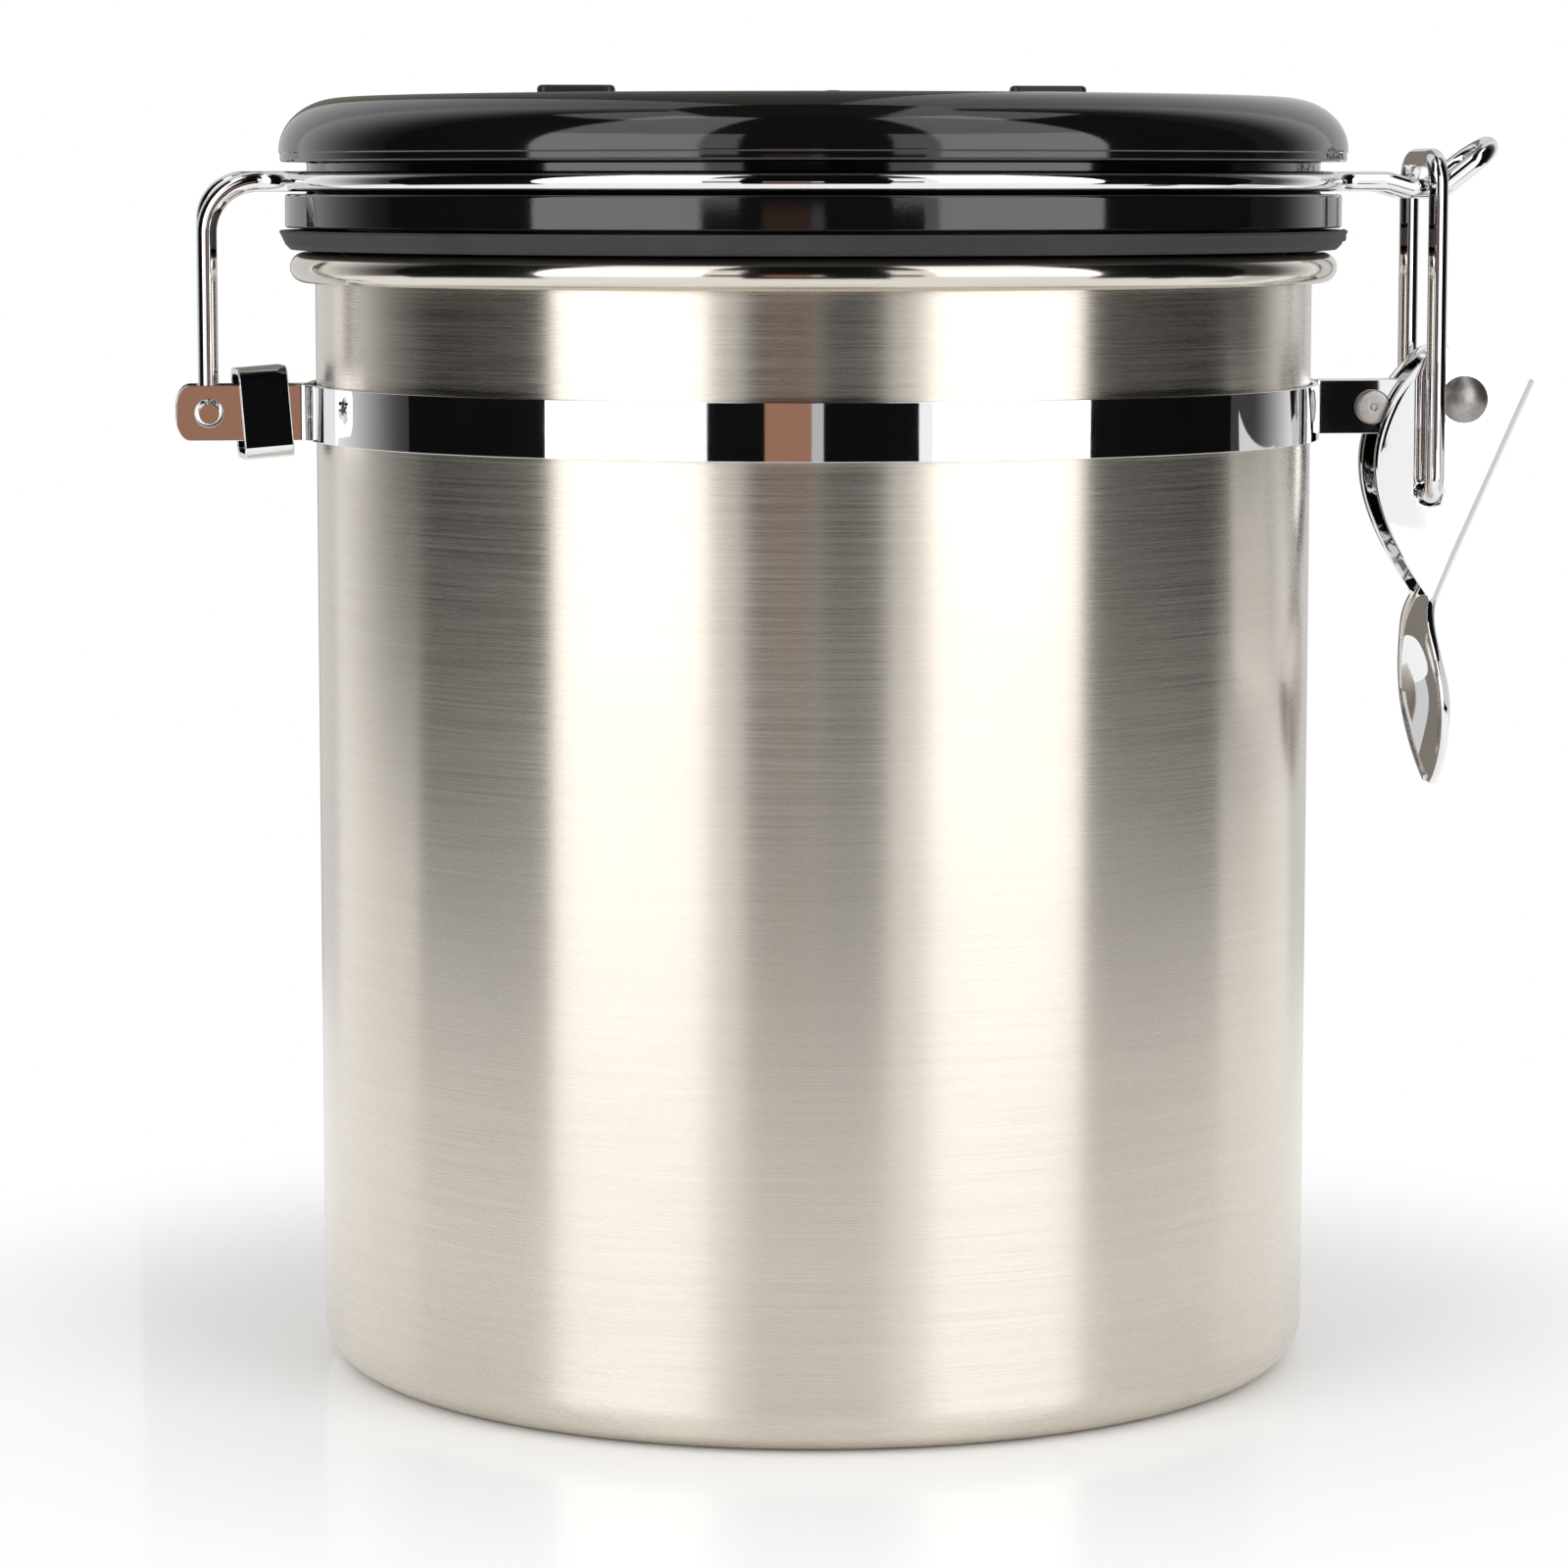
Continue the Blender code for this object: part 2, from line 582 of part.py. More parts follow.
def lid_wire(finish, parent, pivot):
    """One sprung wire: hinge pins, legs, ring round the lid and the turned-up hook at the front."""
    leg = WIRE_RADIUS + GAP / 2
    ring_reach = RING_RADIUS + RING_HINGE_FLARE
    flare_y = leg + RING_HINGE_FLARE
    flare_x = math.sqrt(ring_reach ** 2 - flare_y ** 2)
    hook_y = HOOK_SPLIT / 2
    hook_reach = RING_RADIUS + RING_HOOK_FLARE
    hook_flare_y = hook_y + RING_HOOK_FLARE
    hook_flare_x = math.sqrt(hook_reach ** 2 - hook_flare_y ** 2)
    hinge_turn = math.degrees(math.atan2(flare_y, flare_x))
    hook_turn = math.degrees(math.atan2(hook_flare_y, hook_flare_x))

    corners = [
        (-HINGE_REACH, HINGE_EAR_OUT + PIN_STAND_OUT, BAND_MID_HEIGHT),
        (-HINGE_REACH, leg, BAND_MID_HEIGHT),
        (-HINGE_REACH, leg, RING_HEIGHT),
        (-flare_x, leg, RING_HEIGHT),
    ]
    route = rounded_route(corners, (PIN_BEND, SHOULDER_BEND), BEND_STEPS)[:-1]
    for x, y in arc((-flare_x, flare_y), RING_HINGE_FLARE, -90.0, -hinge_turn, CORNER_STEPS):
        route.append(Vector((x, y, RING_HEIGHT)))
    for x, y in arc((0.0, 0.0), RING_RADIUS, 180.0 - hinge_turn, hook_turn, HALF_TURN_STEPS)[1:]:
        route.append(Vector((x, y, RING_HEIGHT)))
    for x, y in arc((hook_flare_x, hook_flare_y), RING_HOOK_FLARE, 180.0 + hook_turn, 270.0, CORNER_STEPS)[1:]:
        route.append(Vector((x, y, RING_HEIGHT)))
    slope_end = HOOK_LENGTH - HOOK_SPLIT / 2
    rise = Vector((math.cos(HOOK_ANGLE), 0.0, math.sin(HOOK_ANGLE)))
    turn_start = Vector((HOOK_UPTURN_REACH, hook_y, HOOK_HEIGHT)) + rise * slope_end
    notch = [
        route[-1],
        (hook_flare_x + RING_HOOK_FLARE, hook_y, RING_HEIGHT),
        (BAIL_PIVOT_REACH - 2 * WIRE_RADIUS, hook_y, HOOK_HEIGHT),
        (HOOK_UPTURN_REACH, hook_y, HOOK_HEIGHT),
        turn_start,
    ]
    route += rounded_route(notch, (RING_HOOK_FLARE, RING_HOOK_FLARE, HOOK_BEND), BEND_STEPS)[1:]
    for i in range(1, CORNER_STEPS + 1):
        angle = math.pi / 2 * i / CORNER_STEPS
        ahead = rise * (hook_y * math.sin(angle))
        sideways = Vector((0.0, hook_y * (math.cos(angle) - 1.0), 0.0))
        route.append(turn_start + ahead + sideways)
    route += mirrored(route)[1:]
    return wire("lid_wire", route, finish, parent, pivot)


def lid_cap(finish, parent, pivot):
    """Moulded lid: rounded bumper edge, wire groove, collar, recess for the date dial, hollow underneath."""
    top_edge = LID_RADIUS - LID_EDGE_WIDTH
    edge_drop = FLANGE_HEIGHT - FLANGE_LIP
    edge_low = LID_TOP_HEIGHT - edge_drop
    wall = GROOVE_RADIUS - LID_WALL
    collar_inside = COLLAR_RADIUS - LID_WALL
    profile = [(CHIMNEY_RADIUS, DIAL_FLOOR), (DIAL_RECESS_RADIUS, DIAL_FLOOR)]
    profile += [(DIAL_RECESS_RADIUS, LID_TOP_HEIGHT - EDGE_ROUND), (DIAL_RECESS_RADIUS + EDGE_ROUND, LID_TOP_HEIGHT)]
    for i in range(CORNER_STEPS + 2):
        angle = math.pi / 2 * (1.0 - i / (CORNER_STEPS + 1))
        profile.append((top_edge + LID_EDGE_WIDTH * math.cos(angle), edge_low + edge_drop * math.sin(angle)))
    profile += [
        (LID_RADIUS - EDGE_ROUND, FLANGE_BASE_HEIGHT + EDGE_ROUND),
        (LID_RADIUS - 3 * EDGE_ROUND, FLANGE_BASE_HEIGHT),
        (GROOVE_RADIUS, FLANGE_BASE_HEIGHT),
        (GROOVE_RADIUS, COLLAR_TOP_HEIGHT),
        (COLLAR_RADIUS - EDGE_ROUND, COLLAR_TOP_HEIGHT),
        (COLLAR_RADIUS, COLLAR_TOP_HEIGHT - EDGE_ROUND),
        (COLLAR_RADIUS, COLLAR_BASE_HEIGHT + EDGE_ROUND),
        (COLLAR_RADIUS - EDGE_ROUND, COLLAR_BASE_HEIGHT),
        (collar_inside, COLLAR_BASE_HEIGHT),
        (collar_inside, COLLAR_TOP_HEIGHT - LID_WALL),
        (wall, COLLAR_TOP_HEIGHT - LID_WALL),
        (wall, LID_PLATE_BASE),
        (CHIMNEY_RADIUS, LID_PLATE_BASE),
    ]
    return add_object("lid_cap", revolve("lid_cap", profile), finish, parent, pivot)


def lid_gasket(finish, parent, pivot):
    """Soft ring between the lid's collar and the can's rim, with a small pull tab."""
    inner = LINER_NECK_RADIUS + GAP
    profile = [
        (inner, GASKET_BASE),
        (GASKET_RADIUS - 2 * GASKET_TAPER, GASKET_BASE),
        (GASKET_RADIUS - GASKET_TAPER, GASKET_BASE + GASKET_TAPER),
        (GASKET_RADIUS, GASKET_TOP),
        (inner, GASKET_TOP),
    ]
    gasket = add_object("lid_gasket", revolve("lid_gasket", profile), finish, parent, pivot)
    neck_end = GASKET_RADIUS + GASKET_TAB_NECK
    middle = GASKET_TOP - GASKET_TAB_HEAD_WIDTH / 2
    half_neck, half_head = GASKET_TAB_NECK_WIDTH / 2, GASKET_TAB_HEAD_WIDTH / 2
    bm = bmesh.new()
    box(bm, (GASKET_RADIUS - OVERRUN, -half_neck, middle - half_neck), (neck_end, half_neck, middle + half_neck))
    box(bm, (neck_end - half_neck, -half_head, middle - half_head), (neck_end + half_neck, half_head, middle + half_head))
    tab = cutter("gasket_tab", mesh_from(bm, "gasket_tab"))
    step = gasket.modifiers.new("tab", "BOOLEAN")
    step.operation = "UNION"
    step.solver = "EXACT"
    step.use_self = True
    step.object = tab
    return gasket


def lid_liner(finish, parent, pivot):
    """Pan pressed into the lid: tapered plug, neck for the gasket and a chimney that holds the valve."""
    chimney = CHIMNEY_RADIUS + LINER_WALL
    plate = LID_PLATE_BASE - GAP
    lip_low = GASKET_BASE - GAP - LINER_WALL
    inside = LINER_NECK_RADIUS - LINER_WALL
    base_inside = LINER_BASE_RADIUS - LINER_WALL
    stem = FLAP_STEM_RADIUS + GAP
    profile = [
        (stem, LINER_BASE_HEIGHT),
        (LINER_BASE_RADIUS - 2 * EDGE_ROUND, LINER_BASE_HEIGHT),
        (LINER_BASE_RADIUS, LINER_BASE_HEIGHT + 2 * EDGE_ROUND),
        (LINER_LIP_RADIUS, lip_low + LINER_WALL - 2 * EDGE_ROUND),
        (LINER_LIP_RADIUS, lip_low + LINER_WALL),
        (LINER_NECK_RADIUS, lip_low + LINER_WALL),
        (LINER_NECK_RADIUS, plate),
        (inside, plate),
        (inside, lip_low + LINER_WALL),
        (base_inside, LINER_FLOOR),
        (chimney, LINER_FLOOR),
        (chimney, plate),
        (CHIMNEY_RADIUS, plate),
        (CHIMNEY_RADIUS, LINER_FLOOR),
        (stem, LINER_FLOOR),
    ]
    liner = add_object("lid_liner", revolve("lid_liner", profile, INNER_STEPS), finish, parent, pivot)
    low, high = LINER_BASE_HEIGHT - OVERRUN, LINER_FLOOR + OVERRUN / 2
    for i in range(SEAT_HOLES):
        angle = 2.0 * math.pi * (i + SEAT_TURN_SHARE) / SEAT_HOLES
        x, y = SEAT_HOLE_CIRCLE * math.cos(angle), SEAT_HOLE_CIRCLE * math.sin(angle)
        drill(liner, f"seat_hole_{i + 1}", SEAT_HOLE_RADIUS, (x, y, low), (x, y, high), SEAT_HOLE_STEPS)
    return liner


def valve_flap(finish, parent, pivot):
    """Soft mushroom disc that lifts to let gas out and lets none in."""
    seat = LINER_FLOOR + GAP
    stem_end = LINER_BASE_HEIGHT + GAP
    profile = [
        (0.0, stem_end),
        (FLAP_STEM_RADIUS, stem_end),
        (FLAP_STEM_RADIUS, seat),
        (FLAP_RADIUS, seat),
        (FLAP_RADIUS, seat + FLAP_THICK / 2),
        (FLAP_STEM_RADIUS, seat + FLAP_THICK),
        (0.0, seat + FLAP_THICK),
    ]
    return add_object("valve_flap", revolve("valve_flap", profile, SMALL_STEPS), finish, parent, pivot)


def valve_filter(finish, parent, pivot):
    """Paper disc that keeps grounds off the valve seat."""
    top = LINER_BASE_HEIGHT - GAP
    base = top - FILTER_THICK
    profile = [(0.0, base), (FILTER_RADIUS, base), (FILTER_RADIUS, top), (0.0, top)]
    return add_object("valve_filter", revolve("valve_filter", profile, SMALL_STEPS), finish, parent, pivot)


def radial_slots(target, name, count, circle, length, width, low, high):
    """Cut radial slots through a disc, a spoke apart."""
    for i in range(count):
        bm = bmesh.new()
        box(bm, (circle - length / 2, -width / 2, low), (circle + length / 2, width / 2, high))
        mesh = mesh_from(bm, f"{name}_{i + 1}")
        mesh.transform(Matrix.Rotation(2.0 * math.pi * (i + 0.5) / count, 4, "Z"))
        combine(target, cutter(f"{name}_{i + 1}", mesh), "DIFFERENCE")


def valve_cover(finish, parent, pivot):
    """Slotted cup that clips under the liner and holds the filter."""
    top = LINER_BASE_HEIGHT - GAP
    floor = top - FILTER_THICK - GAP
    inner = COVER_RADIUS - COVER_WALL
    profile = [
        (0.0, floor - COVER_WALL),
        (inner, floor - COVER_WALL),
        (COVER_RADIUS, floor - COVER_WALL + EDGE_ROUND),
        (COVER_RADIUS, top),
        (inner, top),
        (inner, floor),
        (0.0, floor),
    ]
    cover = add_object("valve_cover", revolve("valve_cover", profile, SMALL_STEPS), finish, parent, pivot)
    low, high = floor - COVER_WALL - OVERRUN, floor + GAP / 2
    radial_slots(
        cover, "cover_slot", COVER_SLOTS, COVER_SLOT_CIRCLE, COVER_SLOT_LENGTH, COVER_SLOT_WIDTH, low, high
    )
    return cover


def vent_cap(finish, parent, pivot):
    """Slotted button over the vent, whose flange keeps the month dial in."""
    base = DIAL_LIP_TOP + GAP
    top = LID_TOP_HEIGHT
    skirt = CHIMNEY_RADIUS - GAP
    skirt_inside = skirt - VENT_SKIRT
    profile = [
        (0.0, base),
        (skirt_inside, base),
        (skirt_inside, LID_PLATE_BASE),
        (skirt, LID_PLATE_BASE),
        (skirt, base),
        (VENT_CAP_RADIUS, base),
        (VENT_CAP_RADIUS, top - EDGE_ROUND),
        (VENT_CAP_RADIUS - EDGE_ROUND, top),
        (0.0, top),
    ]
    cap = add_object("vent_cap", revolve("vent_cap", profile, SMALL_STEPS), finish, parent, pivot)
    low, high = base - GAP, top + OVERRUN
    radial_slots(cap, "vent_slot", VENT_SLOTS, VENT_SLOT_CIRCLE, VENT_SLOT_LENGTH, VENT_SLOT_WIDTH, low, high)
    return cap


def finger_rib(target, name, circle, length, width, base, height, angle):
    """Raise a rounded radial rib on a dial to turn it by."""
    bm = bmesh.new()
    verts = box(bm, (circle - length / 2, -width / 2, base), (circle + length / 2, width / 2, base + height))
    edges = []
    for edge in bm.edges:
        a, b = edge.verts
        if max(a.co.z, b.co.z) > base + height / 2:
            edges.append(edge)
    bmesh.ops.bevel(bm, geom=edges, offset=RIB_ROUND, segments=2, profile=0.5, affect="EDGES")
    mesh = mesh_from(bm, name)
    mesh.transform(Matrix.Rotation(angle, 4, "Z"))
    combine(target, cutter(name, mesh), "UNION")


def month_dial(finish, parent):
    """Inner date ring, held by the vent cap's flange at its inner lip."""
    step = VENT_CAP_RADIUS + GAP
    shoulder = MONTH_RADIUS - DIAL_LIP_WIDTH
    profile = [
        (CHIMNEY_RADIUS, DIAL_BASE),
        (shoulder, DIAL_BASE),
        (shoulder, DIAL_LIP_TOP + GAP),
        (MONTH_RADIUS, DIAL_LIP_TOP + GAP),
        (MONTH_RADIUS, DIAL_TOP),
        (step, DIAL_TOP),
        (step, DIAL_LIP_TOP),
        (CHIMNEY_RADIUS, DIAL_LIP_TOP),
    ]
    dial = add_object("month_dial", revolve("month_dial", profile, INNER_STEPS), finish, parent, parent.location)
    sink = DIAL_TOP - EDGE_ROUND
    circle = (step + MONTH_RADIUS) / 2
    for name, angle in (("month_rib_a", math.pi / 2), ("month_rib_b", -math.pi / 2)):
        rib_height = MONTH_RIB_HEIGHT + EDGE_ROUND
        finger_rib(dial, name, circle, MONTH_RIB_LENGTH, FINGER_RIB_WIDTH, sink, rib_height, angle)
    return dial


def day_ring(finish, parent):
    """Outer date ring, held by the month dial inside and the bezel outside, with two finger ribs."""
    bore = MONTH_RADIUS - DIAL_LIP_WIDTH + GAP
    step = MONTH_RADIUS + GAP
    outer = DAY_RADIUS + DIAL_LIP_WIDTH
    profile = [
        (bore, DIAL_BASE),
        (outer, DIAL_BASE),
        (outer, DIAL_LIP_TOP),
        (DAY_RADIUS, DIAL_LIP_TOP),
        (DAY_RADIUS, DIAL_TOP),
        (step, DIAL_TOP),
        (step, DIAL_LIP_TOP),
        (bore, DIAL_LIP_TOP),
    ]
    ring = add_object("day_ring", revolve("day_ring", profile, INNER_STEPS), finish, parent, parent.location)
    sink = DIAL_TOP - EDGE_ROUND
    circle = (step + DAY_RADIUS) / 2
    for name, angle in (("day_rib_a", 0.0), ("day_rib_b", math.pi)):
        rib_height = FINGER_RIB_HEIGHT + EDGE_ROUND
        finger_rib(ring, name, circle, FINGER_RIB_LENGTH, FINGER_RIB_WIDTH, sink, rib_height, angle)
    return ring


def dial_bezel(finish, parent, pivot):
    """Trim ring pressed into the recess over the day ring's outer lip."""
    outer = DIAL_RECESS_RADIUS - GAP
    seat = DAY_RADIUS + DIAL_LIP_WIDTH + GAP
    inner = DAY_RADIUS + GAP
    lip = DIAL_LIP_TOP + GAP
    profile = [
        (seat, DIAL_BASE),
        (outer, DIAL_BASE),
        (outer, lip + BEZEL_THICK),
        (inner + EDGE_ROUND, lip + BEZEL_THICK),
        (inner, lip + BEZEL_THICK - EDGE_ROUND),
        (inner, lip),
        (seat, lip),
    ]
    return add_object("dial_bezel", revolve("dial_bezel", profile, INNER_STEPS), finish, parent, pivot)


def cheek_depth(s):
    """How far a cheek reaches from the web, at a distance down the web."""
    if s < CHEEK_PEAK:
        depth = CHEEK_DEPTH * (1.0 - ((CHEEK_PEAK - s) / CHEEK_RISE) ** 2)
    else:
        depth = CHEEK_DEPTH * (1.0 - min(1.0, (s - CHEEK_PEAK) / CHEEK_FALL) ** CHEEK_FALL_POWER)
    if s < CHEEK_CORNER:
        depth -= CHEEK_CORNER - math.sqrt(CHEEK_CORNER ** 2 - (CHEEK_CORNER - s) ** 2)
    return max(depth, LEVER_BEND + TAB_RIM)


def tab_half_width(share):
    """Half the thumb tab's width, at a share of its length from the web."""
    if share < TAB_WIDEST_SHARE:
        widen = math.sin(math.pi / 2 * share / TAB_WIDEST_SHARE)
        return TAB_ROOT_HALF_WIDTH + (TAB_HALF_WIDTH - TAB_ROOT_HALF_WIDTH) * widen
    past = (share - TAB_WIDEST_SHARE) / (1.0 - TAB_WIDEST_SHARE)
    return TAB_HALF_WIDTH * (1.0 - past ** TAB_TIP_POWER) ** TAB_TIP_ROUNDING


def lever_stations():
    """Stations down the lever: place, direction towards the can, half width, cheek depth, bend and dish."""
    down = Vector((-math.sin(LEVER_LEAN), -math.cos(LEVER_LEAN)))
    inward = Vector((-math.cos(LEVER_LEAN), math.sin(LEVER_LEAN)))
    start = Vector((LEVER_PIVOT_REACH + WEB_OUT, LEVER_PIVOT_HEIGHT + WEB_UP))
    stations = []
    for share in WEB_STATION_SHARES:
        widen = max(0.0, share - 1.0 + NECK_SHARE) / NECK_SHARE
        half = LEVER_HALF_WIDTH + (TAB_ROOT_HALF_WIDTH - LEVER_HALF_WIDTH) * widen ** 2
        s = share * WEB_LENGTH
        stations.append((start + down * s, inward, half, cheek_depth(s), LEVER_BEND, 0.0))
    place = start + down * WEB_LENGTH
    rim_bend = LEVER_SHEET + TAB_RIM
    before = 0.0
    for share in TAB_STATION_SHARES:
        settle = min(1.0, share / TAB_SETTLE_SHARE)
        heading = LEVER_LEAN + (TAB_LEAN - LEVER_LEAN) * math.sin(math.pi / 2 * settle)
        place = place + Vector((-math.sin(heading), -math.cos(heading))) * (share - before) * TAB_LENGTH
        before = share
        inward = Vector((-math.cos(heading), math.sin(heading)))
        bend = LEVER_BEND + (rim_bend - LEVER_BEND) * settle
        dish = TAB_DISH * math.sin(math.pi * share) ** 2
        stations.append((place, inward, tab_half_width(share), bend + TAB_RIM, bend, dish))
    return stations


def lever_section(half, depth, bend, dish, inset):
    """Half-open U section as (across, towards the can) points, on the outer skin or inset by the sheet."""
    side = half - inset
    corner = half - bend
    radius = bend - inset
    left = [(-side, depth), (-side, bend)]
    for angle in (225.0, 270.0):
        turned = math.radians(angle)
        left.append((-corner + radius * math.cos(turned), bend + radius * math.sin(turned)))
    points = list(left)
    for share in DISH_SHARES:
        sag = dish * (1.0 - share ** 2)
        points.append((share * corner, inset - sag))
    points += [(-across, inward) for across, inward in reversed(left)]
    return points


def latch_lever(finish, parent, pivot):
    """Stamped lever: two leaf-shaped cheeks on a flat web that runs out into a dished thumb tab."""
    bm = bmesh.new()
    loops = []
    for place, inward, half, depth, bend, dish in lever_stations():
        outer = lever_section(half, depth, bend, dish, 0.0)
        inner = lever_section(half, depth, bend, dish, LEVER_SHEET)
        loop = []
        for across, reach in outer + list(reversed(inner)):
            spot = place + inward * reach
            loop.append(bm.verts.new((spot.x, across, spot.y)))
        loops.append(loop)
    count = len(loops[0])
    for loop, after in zip(loops, loops[1:]):
        for i in range(count):
            j = (i + 1) % count
            bm.faces.new((loop[i], loop[j], after[j], after[i]))
    half_count = count // 2
    for loop in (loops[0], loops[-1]):
        for i in range(half_count - 1):
            bm.faces.new((loop[i], loop[i + 1], loop[count - 2 - i], loop[count - 1 - i]))
    lever = add_object("latch_lever", mesh_from(bm, "latch_lever"), finish, parent, pivot)
    side = LEVER_HALF_WIDTH + OVERRUN
    holes = (
        ("lever_pin_hole", LEVER_PIVOT_REACH, LEVER_PIVOT_HEIGHT, LATCH_PIN_RADIUS + GAP),
        ("lever_bail_hole", BAIL_PIVOT_REACH, BAIL_PIVOT_HEIGHT, WIRE_RADIUS + BAIL_HOLE_SLACK),
    )
    for name, x, z, radius in holes:
        drill(lever, name, radius, (x, -side, z), (x, side, z), HOLE_STEPS)
    return lever


def latch_bail(finish, parent, pivot):
    """Wire loop from the lever's cheeks up over the lid wire's hook."""
    stub = LEVER_HALF_WIDTH - LEVER_SHEET - BAIL_STUB
    x = BAIL_PIVOT_REACH
    corners = [
        (x, stub, BAIL_PIVOT_HEIGHT),
        (x, BAIL_HALF_WIDTH, BAIL_PIVOT_HEIGHT),
        (x, BAIL_HALF_WIDTH, BAIL_TOP),
        (x, 0.0, BAIL_TOP),
    ]
    route = rounded_route(corners, (BAIL_FOOT_BEND, BAIL_CORNER), BEND_STEPS)
    route += mirrored(route)[1:]
    return wire("latch_bail", route, finish, parent, pivot)


def build():
    """Make every piece."""
    clear_scene()
    steel = material("brushed_steel", (0.62, 0.59, 0.55), 0.32, 1.0)
    chrome = material("chrome", (0.82, 0.82, 0.82), 0.06, 1.0)
    keeper_chrome = material("keeper_chrome", (0.78, 0.78, 0.78), 0.08, 1.0)
    satin = material("satin_rivet", (0.55, 0.52, 0.49), 0.3, 1.0)
    black = material("black_gloss", (0.012, 0.012, 0.014), 0.12, 0.0)
    dial_black = material("dial_black", (0.02, 0.02, 0.022), 0.3, 0.0)
    rubber = material("dark_rubber", (0.05, 0.05, 0.05), 0.7, 0.0)
    liner_black = material("liner_black", (0.03, 0.03, 0.03), 0.45, 0.0)
    silicone = material("clear_silicone", (0.7, 0.7, 0.68), 0.5, 0.0)
    paper = material("filter_paper", (0.85, 0.84, 0.8), 0.9, 0.0)

    can_body(steel)
    half_band("band_front", -1, chrome)
    half_band("band_rear", 1, chrome)
    keeper(keeper_chrome)
    ear_rivet(satin)
    spacer("ear_spacer", EAR_RIVET_REACH, BAND_MID_HEIGHT, EAR_RIVET_RADIUS, satin)
    latch_pin(satin)
    spacer("latch_spacer", LEVER_PIVOT_REACH, LEVER_PIVOT_HEIGHT, LATCH_PIN_RADIUS, satin)

    hinge = Vector((-HINGE_REACH, 0.0, BAND_MID_HEIGHT))
    lid_axis = add_axis("lid_axis", hinge)
    lid_wire(chrome, lid_axis, hinge)
    lid_cap(black, lid_axis, hinge)
    lid_gasket(rubber, lid_axis, hinge)
    lid_liner(liner_black, lid_axis, hinge)
    valve_flap(silicone, lid_axis, hinge)
    valve_filter(paper, lid_axis, hinge)
    valve_cover(liner_black, lid_axis, hinge)
    vent_cap(black, lid_axis, hinge)
    dial_bezel(black, lid_axis, hinge)
    dial_axis = add_axis("dial_axis", (0.0, 0.0, DIAL_BASE))
    day_ring(dial_black, dial_axis)
    month_dial(dial_black, dial_axis)

    lever_pivot = Vector((LEVER_PIVOT_REACH, 0.0, LEVER_PIVOT_HEIGHT))
    lever_axis = add_axis("lever_axis", lever_pivot)
    latch_lever(chrome, lever_axis, lever_pivot)
    bail_pivot = Vector((BAIL_PIVOT_REACH, 0.0, BAIL_PIVOT_HEIGHT))
    bail_axis = add_axis("bail_axis", bail_pivot)
    latch_bail(chrome, bail_axis, bail_pivot)


build()
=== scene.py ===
"""The looks of a bail-top coffee canister: studio, finishes and finely made pieces round the model."""

from __future__ import annotations

import logging
import math
from dataclasses import dataclass
from enum import Enum
from typing import Callable, Sequence

import bpy
from mathutils import Matrix, Vector


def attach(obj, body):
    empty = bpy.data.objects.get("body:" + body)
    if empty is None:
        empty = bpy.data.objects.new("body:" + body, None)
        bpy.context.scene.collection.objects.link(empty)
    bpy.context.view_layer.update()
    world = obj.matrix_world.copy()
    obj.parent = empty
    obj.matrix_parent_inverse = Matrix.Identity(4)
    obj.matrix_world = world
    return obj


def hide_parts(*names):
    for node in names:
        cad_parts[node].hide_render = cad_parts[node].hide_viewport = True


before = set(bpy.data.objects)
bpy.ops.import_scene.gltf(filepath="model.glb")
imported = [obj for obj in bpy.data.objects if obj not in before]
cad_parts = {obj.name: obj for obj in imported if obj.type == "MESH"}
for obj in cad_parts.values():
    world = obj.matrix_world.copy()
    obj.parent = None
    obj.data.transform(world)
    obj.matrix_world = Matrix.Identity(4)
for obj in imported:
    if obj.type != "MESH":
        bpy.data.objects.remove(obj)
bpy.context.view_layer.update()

LOG = logging.getLogger("canister")
MM = 0.001
FULL_TURN = 2.0 * math.pi
MERGE = 0.001 * MM
WHITE = (1.0, 1.0, 1.0, 1.0)
WIRE_STEPS = 36

# Roundings that moulded and turned edges share
CRISP = 0.1 * MM
EASED = 0.2 * MM
SOFT = 0.3 * MM

# Angles in degrees over which an edge stays hard
RIVET_SHARP = 32.0
TURNED_SHARP = 38.0
SHEET_SHARP = 50.0

Point2 = tuple[float, float]
Corner = tuple[float, float, float]
Colour = tuple[float, float, float]
Outline = list[Point2]


class Body(Enum):
    """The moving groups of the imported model."""

    CAN = "root"
    LID = "lid"
    FLAP = "flap"
    DAY_RING = "day_ring"
    MONTH_DIAL = "month_dial"
    LEVER = "lever"
    BAIL = "bail"


class Slot(Enum):
    """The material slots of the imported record."""

    STEEL = "brushed_steel"
    CHROME = "chrome"
    RIVET = "rivet"
    LID = "black_gloss"
    GASKET = "gasket"
    LINER = "liner"
    SILICONE = "silicone"
    FILTER = "filter"
    DIAL = "dial"


# Shader maths


